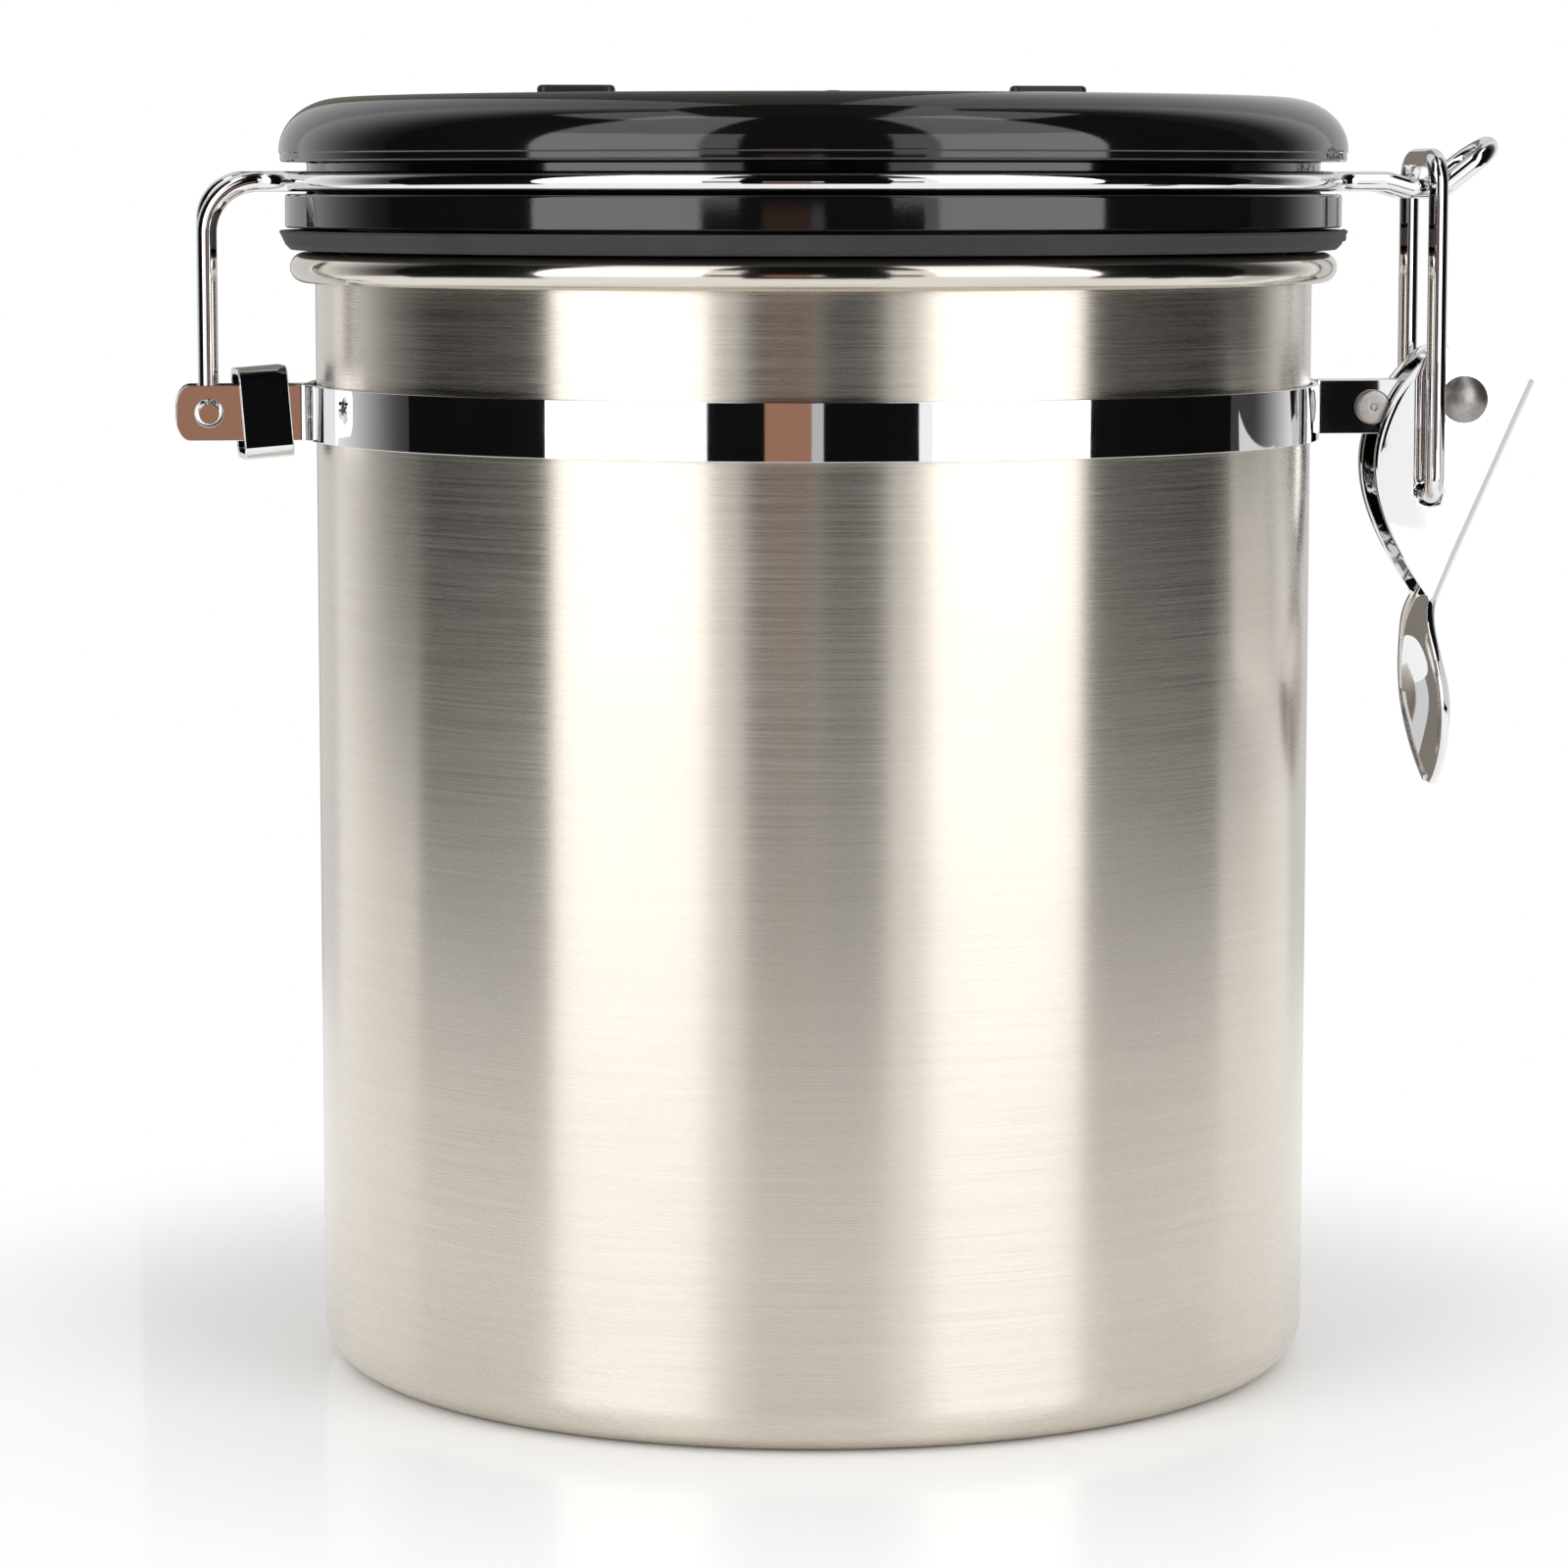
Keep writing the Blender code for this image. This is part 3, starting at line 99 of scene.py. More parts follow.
class Value:
    """A shader socket that takes part in Python arithmetic."""

    def __init__(self, tree: bpy.types.NodeTree, socket: bpy.types.NodeSocket) -> None:
        """Wrap a socket.

        Args:
            tree: The node tree that the socket is in.
            socket: The output socket.
        """
        self.tree = tree
        self.socket = socket

    def _math(self, operation: str, *terms: Value | float) -> Value:
        """Add a Math node.

        Args:
            operation: The node's operation.
            terms: Its inputs in order, as values or numbers.

        Returns:
            The node's result.
        """
        node = self.tree.nodes.new("ShaderNodeMath")
        node.operation = operation
        for place, term in zip(node.inputs, terms):
            if isinstance(term, Value):
                self.tree.links.new(term.socket, place)
            else:
                place.default_value = term
        return Value(self.tree, node.outputs[0])

    def __add__(self, other: Value | float) -> Value:
        """Sum."""
        return self._math("ADD", self, other)

    def __radd__(self, other: float) -> Value:
        """Sum with a number on the left."""
        return self._math("ADD", other, self)

    def __sub__(self, other: Value | float) -> Value:
        """Difference."""
        return self._math("SUBTRACT", self, other)

    def __rsub__(self, other: float) -> Value:
        """Difference from a number."""
        return self._math("SUBTRACT", other, self)

    def __mul__(self, other: Value | float) -> Value:
        """Product."""
        return self._math("MULTIPLY", self, other)

    def __rmul__(self, other: float) -> Value:
        """Product with a number on the left."""
        return self._math("MULTIPLY", other, self)

    def smooth(self, low: float, high: float) -> Value:
        """Ease from 0 at low to 1 at high.

        Args:
            low: Where the result is 0.
            high: Where the result is 1.

        Returns:
            The eased value.
        """
        node = self.tree.nodes.new("ShaderNodeMapRange")
        node.interpolation_type = "SMOOTHSTEP"
        self.tree.links.new(self.socket, node.inputs["Value"])
        node.inputs["From Min"].default_value = low
        node.inputs["From Max"].default_value = high
        return Value(self.tree, node.outputs["Result"])


class Paint:
    """A node tree being wired up."""

    def __init__(self, tree: bpy.types.NodeTree) -> None:
        """Start on an empty tree.

        Args:
            tree: The tree of a material or a world.
        """
        self.tree = tree
        tree.nodes.clear()

    def node(self, kind: str, settings: dict | None = None, inputs: dict | None = None) -> bpy.types.Node:
        """Add one node.

        Args:
            kind: The node's type name.
            settings: Its settings, made first.
            inputs: Numbers, colours or values for its sockets, by name or number.

        Returns:
            The node.
        """
        made = self.tree.nodes.new(kind)
        for name, setting in (settings or {}).items():
            setattr(made, name, setting)
        for name, given in (inputs or {}).items():
            socket = made.inputs[name]
            if isinstance(given, Value):
                self.tree.links.new(given.socket, socket)
            else:
                socket.default_value = given
        return made

    def out(self, node: bpy.types.Node, name: str | int = 0) -> Value:
        """A node's output as a value."""
        return Value(self.tree, node.outputs[name])

    def place(self) -> Value:
        """Object coordinates."""
        return self.out(self.node("ShaderNodeTexCoord"), "Object")

    def axis(self, letter: str) -> Value:
        """One of the object coordinates, X, Y or Z."""
        return self.out(self.node("ShaderNodeSeparateXYZ", inputs={"Vector": self.place()}), letter)

    def stretched(self, scale: Sequence[float]) -> Value:
        """Object coordinates scaled along each axis.

        Args:
            scale: Factors along X, Y and Z.

        Returns:
            The scaled coordinates.
        """
        mapping = self.node("ShaderNodeMapping", inputs={"Vector": self.place(), "Scale": scale})
        return self.out(mapping)

    def noise(self, where: Value, scale: float, detail: float = 2.0, roughness: float = 0.5) -> Value:
        """Smooth noise from 0 to 1.

        Args:
            where: The coordinates.
            scale: Features per metre of coordinate.
            detail: Octaves.
            roughness: How much the finer octaves add.

        Returns:
            The noise.
        """
        inputs = {"Vector": where, "Scale": scale, "Detail": detail, "Roughness": roughness}
        return self.out(self.node("ShaderNodeTexNoise", inputs=inputs), "Fac")

    def grain(self, size: float, detail: float = 2.0) -> Value:
        """Even noise on the piece, with features of a size in metres."""
        return self.noise(self.place(), 1.0 / size, detail)

    def blend(self, factor: Value, low: Sequence[float], high: Sequence[float]) -> Value:
        """Mix two colours.

        Args:
            factor: 0 gives low and 1 gives high.
            low: The first colour.
            high: The second colour.

        Returns:
            The mixed colour.
        """
        inputs = {0: factor, 6: (*low, 1.0), 7: (*high, 1.0)}
        node = self.node("ShaderNodeMix", {"data_type": "RGBA"}, inputs)
        return self.out(node, 2)

    def bump(self, height: Value, depth: float, strength: float = 1.0) -> Value:
        """Turn a height into a normal.

        Args:
            height: The height from 0 to 1.
            depth: How far 1 stands above 0, in metres.
            strength: Share of the effect.

        Returns:
            The normal.
        """
        inputs = {"Height": height, "Distance": depth, "Strength": strength}
        return self.out(self.node("ShaderNodeBump", inputs=inputs))

    def end(self, shader: bpy.types.Node, kind: str = "ShaderNodeOutputMaterial") -> None:
        """Lead a shader to the tree's output."""
        self.tree.links.new(shader.outputs[0], self.node(kind).inputs["Surface"])

    def surface(self, **inputs: object) -> None:
        """End the tree in a Principled surface.

        Args:
            inputs: Socket values, with underscores for the blanks in their names.
        """
        named = {name.replace("_", " "): given for name, given in inputs.items()}
        self.end(self.node("ShaderNodeBsdfPrincipled", inputs=named))


# Finishes


@dataclass(frozen=True)
class Finish:
    """A surface finish that can make its material. Colour and roughness are the lowest that it has."""

    name: str
    colour: Colour = (0.8, 0.8, 0.8)
    contrast: float = 1.0
    roughness: float = 0.5
    uneven: float = 0.0

    def tones(self, paint: Paint, share: Value) -> Value:
        """The colour, and the contrast times that where the share is 1."""
        return paint.blend(share, self.colour, tuple(part * self.contrast for part in self.colour))

    def rough(self, grain: Value) -> Value:
        """The roughness, and as much more as it is uneven where the grain is 1."""
        return grain * self.uneven + self.roughness

    def wire(self, paint: Paint) -> None:
        """Wire the finish's nodes."""
        raise NotImplementedError

    def material(self) -> bpy.types.Material:
        """Make the material once and hand it out again.

        Returns:
            The material.
        """
        known = bpy.data.materials.get(self.name)
        if known:
            return known
        made = bpy.data.materials.new(self.name)
        made.use_nodes = True
        self.wire(Paint(made.node_tree))
        return made


@dataclass(frozen=True)
class BrushedSteel(Finish):
    """Stainless sheet brushed round the can, so that light spreads up and down it."""

    name: str = "brushed_steel_finish"
    light: Colour = (0.77, 0.715, 0.64)
    dark: Colour = (0.69, 0.637, 0.562)
    tone_shares: tuple[float, float, float] = (0.45, 0.25, 0.3)
    roughness: float = 0.23
    uneven: float = 0.08
    spread: float = 0.9
    scratch_length: float = 26.0 * MM
    scratch_width: float = 0.13 * MM
    scratch_depth: float = 0.002 * MM
    polish_height: float = 130.4 * MM
    polish_fade: float = 0.6 * MM
    polish: float = 0.13
    cloud_size: float = 25.0 * MM

    def wire(self, paint: Paint) -> None:
        """Fine lines round the can, cloudier patches, and a rim that rolling has polished.

        Args:
            paint: The material's tree.
        """
        along, across = 1.0 / self.scratch_length, 1.0 / self.scratch_width
        lines = paint.noise(paint.stretched((along, along, across)), 1.0, 3.0, 0.7)
        broad = paint.noise(paint.stretched((along / 2, along / 2, across / 9)), 1.0, 2.0)
        clouds = paint.grain(self.cloud_size)
        fine, wide, cloudy = self.tone_shares
        tone = lines * fine + broad * wide + clouds * cloudy
        colour = paint.blend(tone.smooth(0.3, 0.7), self.dark, self.light)
        brushed = 1.0 - paint.axis("Z").smooth(self.polish_height, self.polish_height + self.polish_fade)
        rough = self.rough(lines.smooth(0.25, 0.75))
        paint.surface(
            Base_Color=colour,
            Metallic=1.0,
            Roughness=rough * brushed + (1.0 - brushed) * self.polish,
            Anisotropic=self.spread,
            Anisotropic_Rotation=0.25,
            Normal=paint.bump(lines * brushed, self.scratch_depth),
        )


@dataclass(frozen=True)
class Chrome(Finish):
    """Bright plating with the faint waves of bent wire and strip."""

    name: str = "chrome_finish"
    colour: Colour = (0.86, 0.86, 0.87)
    roughness: float = 0.02
    uneven: float = 0.03
    wave: float = 0.006 * MM
    wave_length: float = 9.0 * MM
    haze_size: float = 3.0 * MM

    def wire(self, paint: Paint) -> None:
        """Slow waves and a breath of haze in the plating.

        Args:
            paint: The material's tree.
        """
        paint.surface(
            Base_Color=(*self.colour, 1.0),
            Metallic=1.0,
            Roughness=self.rough(paint.grain(self.haze_size, 3.0)),
            Normal=paint.bump(paint.grain(self.wave_length, 1.0), self.wave),
        )


@dataclass(frozen=True)
class SatinRivet(Finish):
    """Nickel-grey rivet heads, turned smooth but not polished."""

    name: str = "rivet_finish"
    colour: Colour = (0.376, 0.352, 0.336)
    contrast: float = 1.25
    roughness: float = 0.28
    uneven: float = 0.16
    grain_size: float = 0.35 * MM
    grain_depth: float = 0.006 * MM

    def wire(self, paint: Paint) -> None:
        """Speckled satin metal.

        Args:
            paint: The material's tree.
        """
        grain = paint.grain(self.grain_size, 3.0)
        paint.surface(
            Base_Color=self.tones(paint, grain.smooth(0.3, 0.7)),
            Metallic=1.0,
            Roughness=self.rough(grain),
            Normal=paint.bump(grain, self.grain_depth),
        )


@dataclass(frozen=True)
class MouldedPlastic(Finish):
    """Injection-moulded plastic, glossy or satin by its roughness."""

    name: str = "gloss_black_finish"
    colour: Colour = (0.0036, 0.0036, 0.0037)
    contrast: float = 1.35
    roughness: float = 0.03
    uneven: float = 0.03
    haze: float = 0.05
    texture: float = 0.3 * MM
    depth: float = 0.0015 * MM
    shine: float = 0.5
    haze_size: float = 14.0 * MM

    def wire(self, paint: Paint) -> None:
        """Faint swirls of handling in the gloss and a fine moulded texture.

        Args:
            paint: The material's tree.
        """
        haze = paint.grain(self.haze_size, 3.0)
        skin = paint.grain(self.texture)
        paint.surface(
            Base_Color=self.tones(paint, haze),
            Roughness=haze * self.haze + self.rough(skin),
            IOR=1.5,
            Specular_IOR_Level=self.shine,
            Normal=paint.bump(skin, self.depth),
        )


@dataclass(frozen=True)
class SoftRubber(Finish):
    """Dark matte gasket rubber or milky silicone."""

    name: str = "gasket_finish"
    colour: Colour = (0.022, 0.022, 0.022)
    contrast: float = 1.6
    roughness: float = 0.55
    uneven: float = 0.14
    grain_size: float = 0.25 * MM
    grain_depth: float = 0.01 * MM
    bloom_size: float = 12.0 * MM

    def wire(self, paint: Paint) -> None:
        """Fine grain with a bloom of dust.

        Args:
            paint: The material's tree.
        """
        grain = paint.grain(self.grain_size, 3.0)
        bloom = paint.grain(self.bloom_size, 3.0)
        paint.surface(
            Base_Color=self.tones(paint, bloom.smooth(0.35, 0.75)),
            Roughness=self.rough(grain),
            Normal=paint.bump(grain, self.grain_depth),
        )


@dataclass(frozen=True)
class Paper(Finish):
    """Felted filter paper."""

    name: str = "filter_paper_finish"
    dark: Colour = (0.74, 0.72, 0.66)
    light: Colour = (0.88, 0.87, 0.83)
    roughness: float = 0.95
    fibre: float = 0.6 * MM
    fibre_depth: float = 0.05 * MM

    def wire(self, paint: Paint) -> None:
        """Matted fibres.

        Args:
            paint: The material's tree.
        """
        fibres = paint.noise(paint.stretched((1.0, 3.0, 1.0)), 1.0 / self.fibre, 4.0, 0.7)
        paint.surface(
            Base_Color=paint.blend(fibres, self.dark, self.light),
            Roughness=self.roughness,
            Normal=paint.bump(fibres, self.fibre_depth),
        )


@dataclass(frozen=True)
class Ink(Finish):
    """Pad-printed white of the dial's numbers."""

    name: str = "white_ink_finish"
    dark: Colour = (0.62, 0.62, 0.61)
    light: Colour = (0.82, 0.82, 0.80)
    roughness: float = 0.45
    patch: float = 0.5 * MM

    def wire(self, paint: Paint) -> None:
        """Slightly uneven ink.

        Args:
            paint: The material's tree.
        """
        colour = paint.blend(paint.grain(self.patch), self.dark, self.light)
        paint.surface(Base_Color=colour, Roughness=self.roughness)


STEEL = BrushedSteel()
CHROME = Chrome()
RIVET = SatinRivet()
GLOSS = MouldedPlastic(shine=0.8)
SATIN = MouldedPlastic(name="satin_black_finish", colour=(0.014, 0.014, 0.015), roughness=0.28)
LINER = MouldedPlastic(name="liner_finish", colour=(0.02, 0.02, 0.02), roughness=0.38)
GASKET = SoftRubber()
SILICONE = SoftRubber(name="silicone_finish", colour=(0.55, 0.55, 0.53), roughness=0.33)
PAPER = Paper()
INK = Ink()


# Modelling by hand


def deselect() -> None:
    """Leave nothing selected."""
    for thing in bpy.context.selected_objects:
        thing.select_set(False)


def only(piece: bpy.types.Object) -> None:
    """Select one piece and make it active.

    Args:
        piece: The piece.
    """
    deselect()
    piece.select_set(True)
    bpy.context.view_layer.objects.active = piece


def settle(piece: bpy.types.Object) -> None:
    """Move a piece's place, turn and scale into its mesh."""
    only(piece)
    bpy.ops.object.transform_apply(location=True, rotation=True, scale=True)


def apply_modifiers(piece: bpy.types.Object) -> None:
    """Apply a piece's modifiers in order.

    Args:
        piece: The piece.
    """
    only(piece)
    for modifier in list(piece.modifiers):
        bpy.ops.object.modifier_apply(modifier=modifier.name)


def arc(centre: Point2, radius: float, start: float, end: float, steps: int) -> Outline:
    """Points on a circle arc.

    Args:
        centre: The circle's centre.
        radius: Its radius.
        start: First angle in degrees.
        end: Last angle in degrees.
        steps: Segments between them.

    Returns:
        The points, with both ends.
    """
    points = []
    for i in range(steps + 1):
        angle = math.radians(start + (end - start) * i / steps)
        points.append((centre[0] + radius * math.cos(angle), centre[1] + radius * math.sin(angle)))
    return points


def rounded(corners: Sequence[Corner], steps: int = 5, closed: bool = True) -> Outline:
    """An outline through corners, each rounded by its own radius.

    Args:
        corners: Across, up and rounding radius of each corner.
        steps: Segments in each rounding.
        closed: Whether the last corner leads back to the first.

    Returns:
        The outline's points.
    """
    count = len(corners)
    points: Outline = []
    for i, (x, y, radius) in enumerate(corners):
        here = Vector((x, y))
        at_end = not closed and i in (0, count - 1)
        if radius <= 0.0 or at_end:
            points.append((x, y))
            continue
        before = Vector(corners[i - 1][:2]) - here
        after = Vector(corners[(i + 1) % count][:2]) - here
        a, b = before.normalized(), after.normalized()
        opening = a.angle(b)
        reach = radius / math.tan(opening / 2)
        reach = min(reach, before.length * 0.499, after.length * 0.499)
        radius = reach * math.tan(opening / 2)
        centre = here + (a + b).normalized() * (radius / math.sin(opening / 2))
        first = here + a * reach - centre
        turn = math.pi - opening
        if a.x * b.y - a.y * b.x > 0.0:
            turn = -turn
        for k in range(steps + 1):
            spot = centre + Matrix.Rotation(turn * k / steps, 2) @ first
            points.append((spot.x, spot.y))
    return points


def start_point(name: str, spot: Vector) -> bpy.types.Object:
    """Add a plane and merge it to one vertex, ready to extrude an outline from.

    Args:
        name: The new piece's name.
        spot: Where the vertex lies.

    Returns:
        The piece, in edit mode with its vertex selected.
    """
    deselect()
    bpy.ops.mesh.primitive_plane_add(size=MM, location=spot)
    piece = bpy.context.object
    piece.name = name
    settle(piece)
    bpy.ops.object.mode_set(mode="EDIT")
    bpy.ops.mesh.select_mode(type="VERT")
    bpy.ops.mesh.select_all(action="SELECT")
    bpy.ops.mesh.merge(type="CENTER")
    return piece


def draw(points: Sequence[Vector]) -> None:
    """Extrude the selected vertex from point to point.

    Args:
        points: Where the vertex is and where it goes.
    """
    for before, after in zip(points, points[1:]):
        step = Vector(after) - Vector(before)
        bpy.ops.mesh.extrude_vertices_move(TRANSFORM_OT_translate={"value": step})


def weld() -> None:
    """Merge what lies on each other in the piece that is open in edit mode, and select it all."""
    bpy.ops.mesh.select_all(action="SELECT")
    bpy.ops.mesh.remove_doubles(threshold=MERGE)
    bpy.ops.mesh.select_all(action="SELECT")


def close() -> None:
    """Turn all faces of the piece in edit mode outwards, and leave that mode."""
    bpy.ops.mesh.select_all(action="SELECT")
    bpy.ops.mesh.normals_make_consistent(inside=False)
    bpy.ops.object.mode_set(mode="OBJECT")


def lathe(name: str, outline: Outline, steps: int, sharp: float) -> bpy.types.Object:
    """Draw an outline beside the Z axis, close it unless it ends on the axis, and spin it round.

    Args:
        name: The new piece's name.
        outline: Radius and height of each point.
        steps: Segments round the turn.
        sharp: Angle in degrees over which an edge stays hard.

    Returns:
        The piece.
    """
    points = [Vector((radius, 0.0, height)) for radius, height in outline]
    on_axis = outline[0][0] < MERGE and outline[-1][0] < MERGE
    piece = start_point(name, points[0])
    draw(points if on_axis else points + points[:1])
    weld()
    bpy.ops.mesh.spin(steps=steps, angle=FULL_TURN, center=(0.0, 0.0, 0.0), axis=(0.0, 0.0, 1.0))
    weld()
    close()
    smooth(piece, sharp)
    return piece


def turned(
    name: str, corners: Sequence[Corner], steps: int, sharp: float = TURNED_SHARP, fineness: int = 4
) -> bpy.types.Object:
    """Lathe a section that is given by its corners, and is open where it starts on the axis.

    Args:
        name: The new piece's name.
        corners: Radius, height and rounding of each corner.
        steps: Segments round the turn.
        sharp: Angle in degrees over which an edge stays hard.
        fineness: Segments in each rounding.

    Returns:
        The piece.
    """
    return lathe(name, rounded(corners, fineness, closed=corners[0][0] > 0.0), steps, sharp)


def smooth(piece: bpy.types.Object, sharp: float) -> None:
    """Shade smooth but for sharp edges, and keep flat faces flat beside roundings.

    Args:
        piece: The piece.
        sharp: Angle in degrees over which an edge stays hard.
    """
    only(piece)
    bpy.ops.object.shade_smooth_by_angle(angle=math.radians(sharp))
    normals = piece.modifiers.new("normals", "WEIGHTED_NORMAL")
    normals.keep_sharp = True
    apply_modifiers(piece)


def laid_on_y(piece: bpy.types.Object, spot: Vector) -> None:
    """Turn a lathed piece's axis to Y and set it at a place.

    Args:
        piece: The piece.
        spot: The place.
    """
    piece.rotation_euler = (math.radians(-90.0), 0.0, 0.0)
    piece.location = spot
    settle(piece)


def route_through(corners: Sequence[Sequence[float]], bends: Sequence[float]) -> list[Vector]:
    """A route through corner points, each inner corner turned at its own bend radius.

    Args:
        corners: The route's corner points.
        bends: Bend radius at each inner corner.

    Returns:
        The route's points.
    """
    spots = [Vector(corner) for corner in corners]
    route = [spots[0]]
    for before, corner, after, bend in zip(spots, spots[1:], spots[2:], bends):
        back = (before - corner).normalized()
        ahead = (after - corner).normalized()
        turn = math.pi - back.angle(ahead)
        if turn < 0.01 or bend <= 0.0:
            route.append(corner)
            continue
        reach = bend * math.tan(turn / 2)
        centre = corner + (back + ahead).normalized() * (bend / math.cos(turn / 2))
        first = corner + back * reach - centre
        axis = back.cross(ahead)
        count = max(3, round(WIRE_STEPS * turn / math.pi))
        for i in range(count + 1):
            route.append(centre + Matrix.Rotation(-turn * i / count, 3, axis) @ first)
    route.append(spots[-1])
    return route


def mirrored(route: Sequence[Vector]) -> list[Vector]:
    """The same route on the other side of the XZ plane, in reverse order."""
    return [Vector((spot.x, -spot.y, spot.z)) for spot in reversed(route)]


def bent_wire(name: str, route: Sequence[Vector], radius: float) -> bpy.types.Object:
    """Bend a round wire along a route.

    Args:
        name: The new piece's name.
        route: Points of the centre line.
        radius: The wire's radius.

    Returns:
        The piece.
    """
    deselect()
    bpy.ops.curve.primitive_nurbs_path_add(location=(0.0, 0.0, 0.0))
    piece = bpy.context.object
    piece.name = name
    curve = piece.data
    curve.splines.clear()
    spline = curve.splines.new("POLY")
    spline.points.add(len(route) - 1)
    for point, spot in zip(spline.points, route):
        point.co = (*spot, 1.0)
    curve.bevel_depth = radius
    curve.bevel_resolution = 6
    curve.use_fill_caps = True
    only(piece)
    bpy.ops.object.convert(target="MESH")
    piece = bpy.context.object
    bpy.ops.object.mode_set(mode="EDIT")
    weld()
    close()
    return piece


def ribbon(name: str, points: Sequence[Vector], sweep: Sequence[float]) -> bpy.types.Object:
    """Draw a line and extrude it sideways to a sheet with no thickness yet.

    Args:
        name: The new piece's name.
        points: The line.
        sweep: Which way and how far it is extruded.

    Returns:
        The sheet.
    """
    piece = start_point(name, points[0])
    draw(points)
    weld()
    bpy.ops.mesh.extrude_edges_move(TRANSFORM_OT_translate={"value": sweep})
    close()
    return piece


def strip_on_edge(name: str, line: Outline, low: float, high: float) -> bpy.types.Object:
    """Stand a flat strip on edge along a line seen from above.

    Args:
        name: The new piece's name.
        line: The middle line, as X and Y.
        low: Height of the lower edge.
        high: Height of the upper edge.

    Returns:
        The piece, with no thickness yet.
    """
    return ribbon(name, [Vector((x, y, low)) for x, y in line], (0.0, 0.0, high - low))


def thicken(piece: bpy.types.Object, thickness: float, offset: float = 0.0) -> None:
    """Give a sheet its thickness.

    Args:
        piece: The sheet.
        thickness: Its thickness.
        offset: 0 grows both ways, 1 along the normals and -1 against them.
    """
    solid = piece.modifiers.new("sheet", "SOLIDIFY")
    solid.thickness = thickness
    solid.offset = offset
    solid.use_even_offset = True
    apply_modifiers(piece)


def soften(piece: bpy.types.Object, width: float, segments: int = 2, angle: float = 40.0) -> None:
    """Round a piece's hard edges.

    Args:
        piece: The piece.
        width: Width of the rounding.
        segments: Faces across it.
        angle: Edges over this many degrees are rounded.
    """
    bevel = piece.modifiers.new("edges", "BEVEL")
    bevel.width = width
    bevel.segments = segments
    bevel.limit_method = "ANGLE"
    bevel.angle_limit = math.radians(angle)
    bevel.use_clamp_overlap = True
    apply_modifiers(piece)


def boolean(piece: bpy.types.Object, other: bpy.types.Object, operation: str) -> None:
    """Cut a shape out of a piece, or join it on, and throw the shape away.

    Args:
        piece: What is changed.
        other: The shape.
        operation: DIFFERENCE or UNION.
    """
    step = piece.modifiers.new("shape", "BOOLEAN")
    step.operation = operation
    step.solver = "EXACT"
    step.object = other
    apply_modifiers(piece)
    bpy.data.objects.remove(other, do_unlink=True)


def drill(piece: bpy.types.Object, radius: float, start: Vector, end: Vector) -> None:
    """Cut a round hole.

    Args:
        piece: What is drilled.
        radius: The hole's radius.
        start: Centre of one end of the cut.
        end: Centre of the other end.
    """
    deselect()
    along, middle = end - start, (start + end) / 2
    bpy.ops.mesh.primitive_cylinder_add(vertices=48, radius=radius, depth=along.length, location=middle)
    bit = bpy.context.object
    bit.rotation_euler = along.to_track_quat("Z", "Y").to_euler()
    settle(bit)
    boolean(piece, bit, "DIFFERENCE")


def bar(
    length: float, width: float, low: float, high: float, circle: float, angle: float
) -> bpy.types.Object:
    """A radial bar with rounded ends, for a slot or a rib.

    Args:
        length: Its length along the radius.
        width: Its width.
        low: Height of its underside.
        high: Height of its top.
        circle: Radius that its middle lies on.
        angle: Direction of that radius in degrees.

    Returns:
        The bar.
    """
    deselect()
    bpy.ops.mesh.primitive_cube_add(size=1.0, location=(circle, 0.0, (low + high) / 2))
    made = bpy.context.object
    made.scale = (length, width, high - low)
    settle(made)
    bevel_edges(made, lambda a, b: abs(a.z - b.z) > MERGE, width * 0.49, 6)
    made.rotation_euler = (0.0, 0.0, math.radians(angle))
    settle(made)
    return made


def pick(piece: bpy.types.Object, kind: str, wanted: Callable[..., bool]) -> None:
    """Select some edges or faces of a piece, and leave it open in edit mode.

    Args:
        piece: The piece.
        kind: EDGE or FACE.
        wanted: Says of an edge by its two ends, or of a face, whether it is selected.
    """
    only(piece)
    bpy.ops.object.mode_set(mode="EDIT")
    bpy.ops.mesh.select_mode(type=kind)
    bpy.ops.mesh.select_all(action="DESELECT")
    bpy.ops.object.mode_set(mode="OBJECT")
    mesh = piece.data
    if kind == "FACE":
        for face in mesh.polygons:
            face.select = wanted(face)
    else:
        for edge in mesh.edges:
            edge.select = wanted(*(mesh.vertices[i].co for i in edge.vertices))
    bpy.ops.object.mode_set(mode="EDIT")


def bevel_edges(piece: bpy.types.Object, wanted: Callable[..., bool], width: float, segments: int) -> None:
    """Bevel some edges of a piece.

    Args:
        piece: The piece.
        wanted: Says of an edge by its two ends whether it is bevelled.
        width: The bevel's width.
        segments: Faces across it.
    """
    pick(piece, "EDGE", wanted)
    bpy.ops.mesh.bevel(offset=width, offset_type="OFFSET", segments=segments, profile=0.5, affect="EDGES")
    bpy.ops.object.mode_set(mode="OBJECT")


def grow(steps: Sequence[Point2], axis: Sequence[float], centre: Sequence[float]) -> None:
    """Extrude the picked faces step by step, widen or narrow each step, and leave edit mode.

    Args:
        steps: Move along the axis, and scale across it, of each step.
        axis: Unit direction of the extrusion, along X, Y or Z.
        centre: A point on the axis.
    """
    for move, scale in steps:
        step = [part * move for part in axis]
        bpy.ops.mesh.extrude_region_move(TRANSFORM_OT_translate={"value": step})
        widen = [1.0 if part else scale for part in axis]
        bpy.ops.transform.resize(value=widen, center_override=centre)
    bpy.ops.object.mode_set(mode="OBJECT")


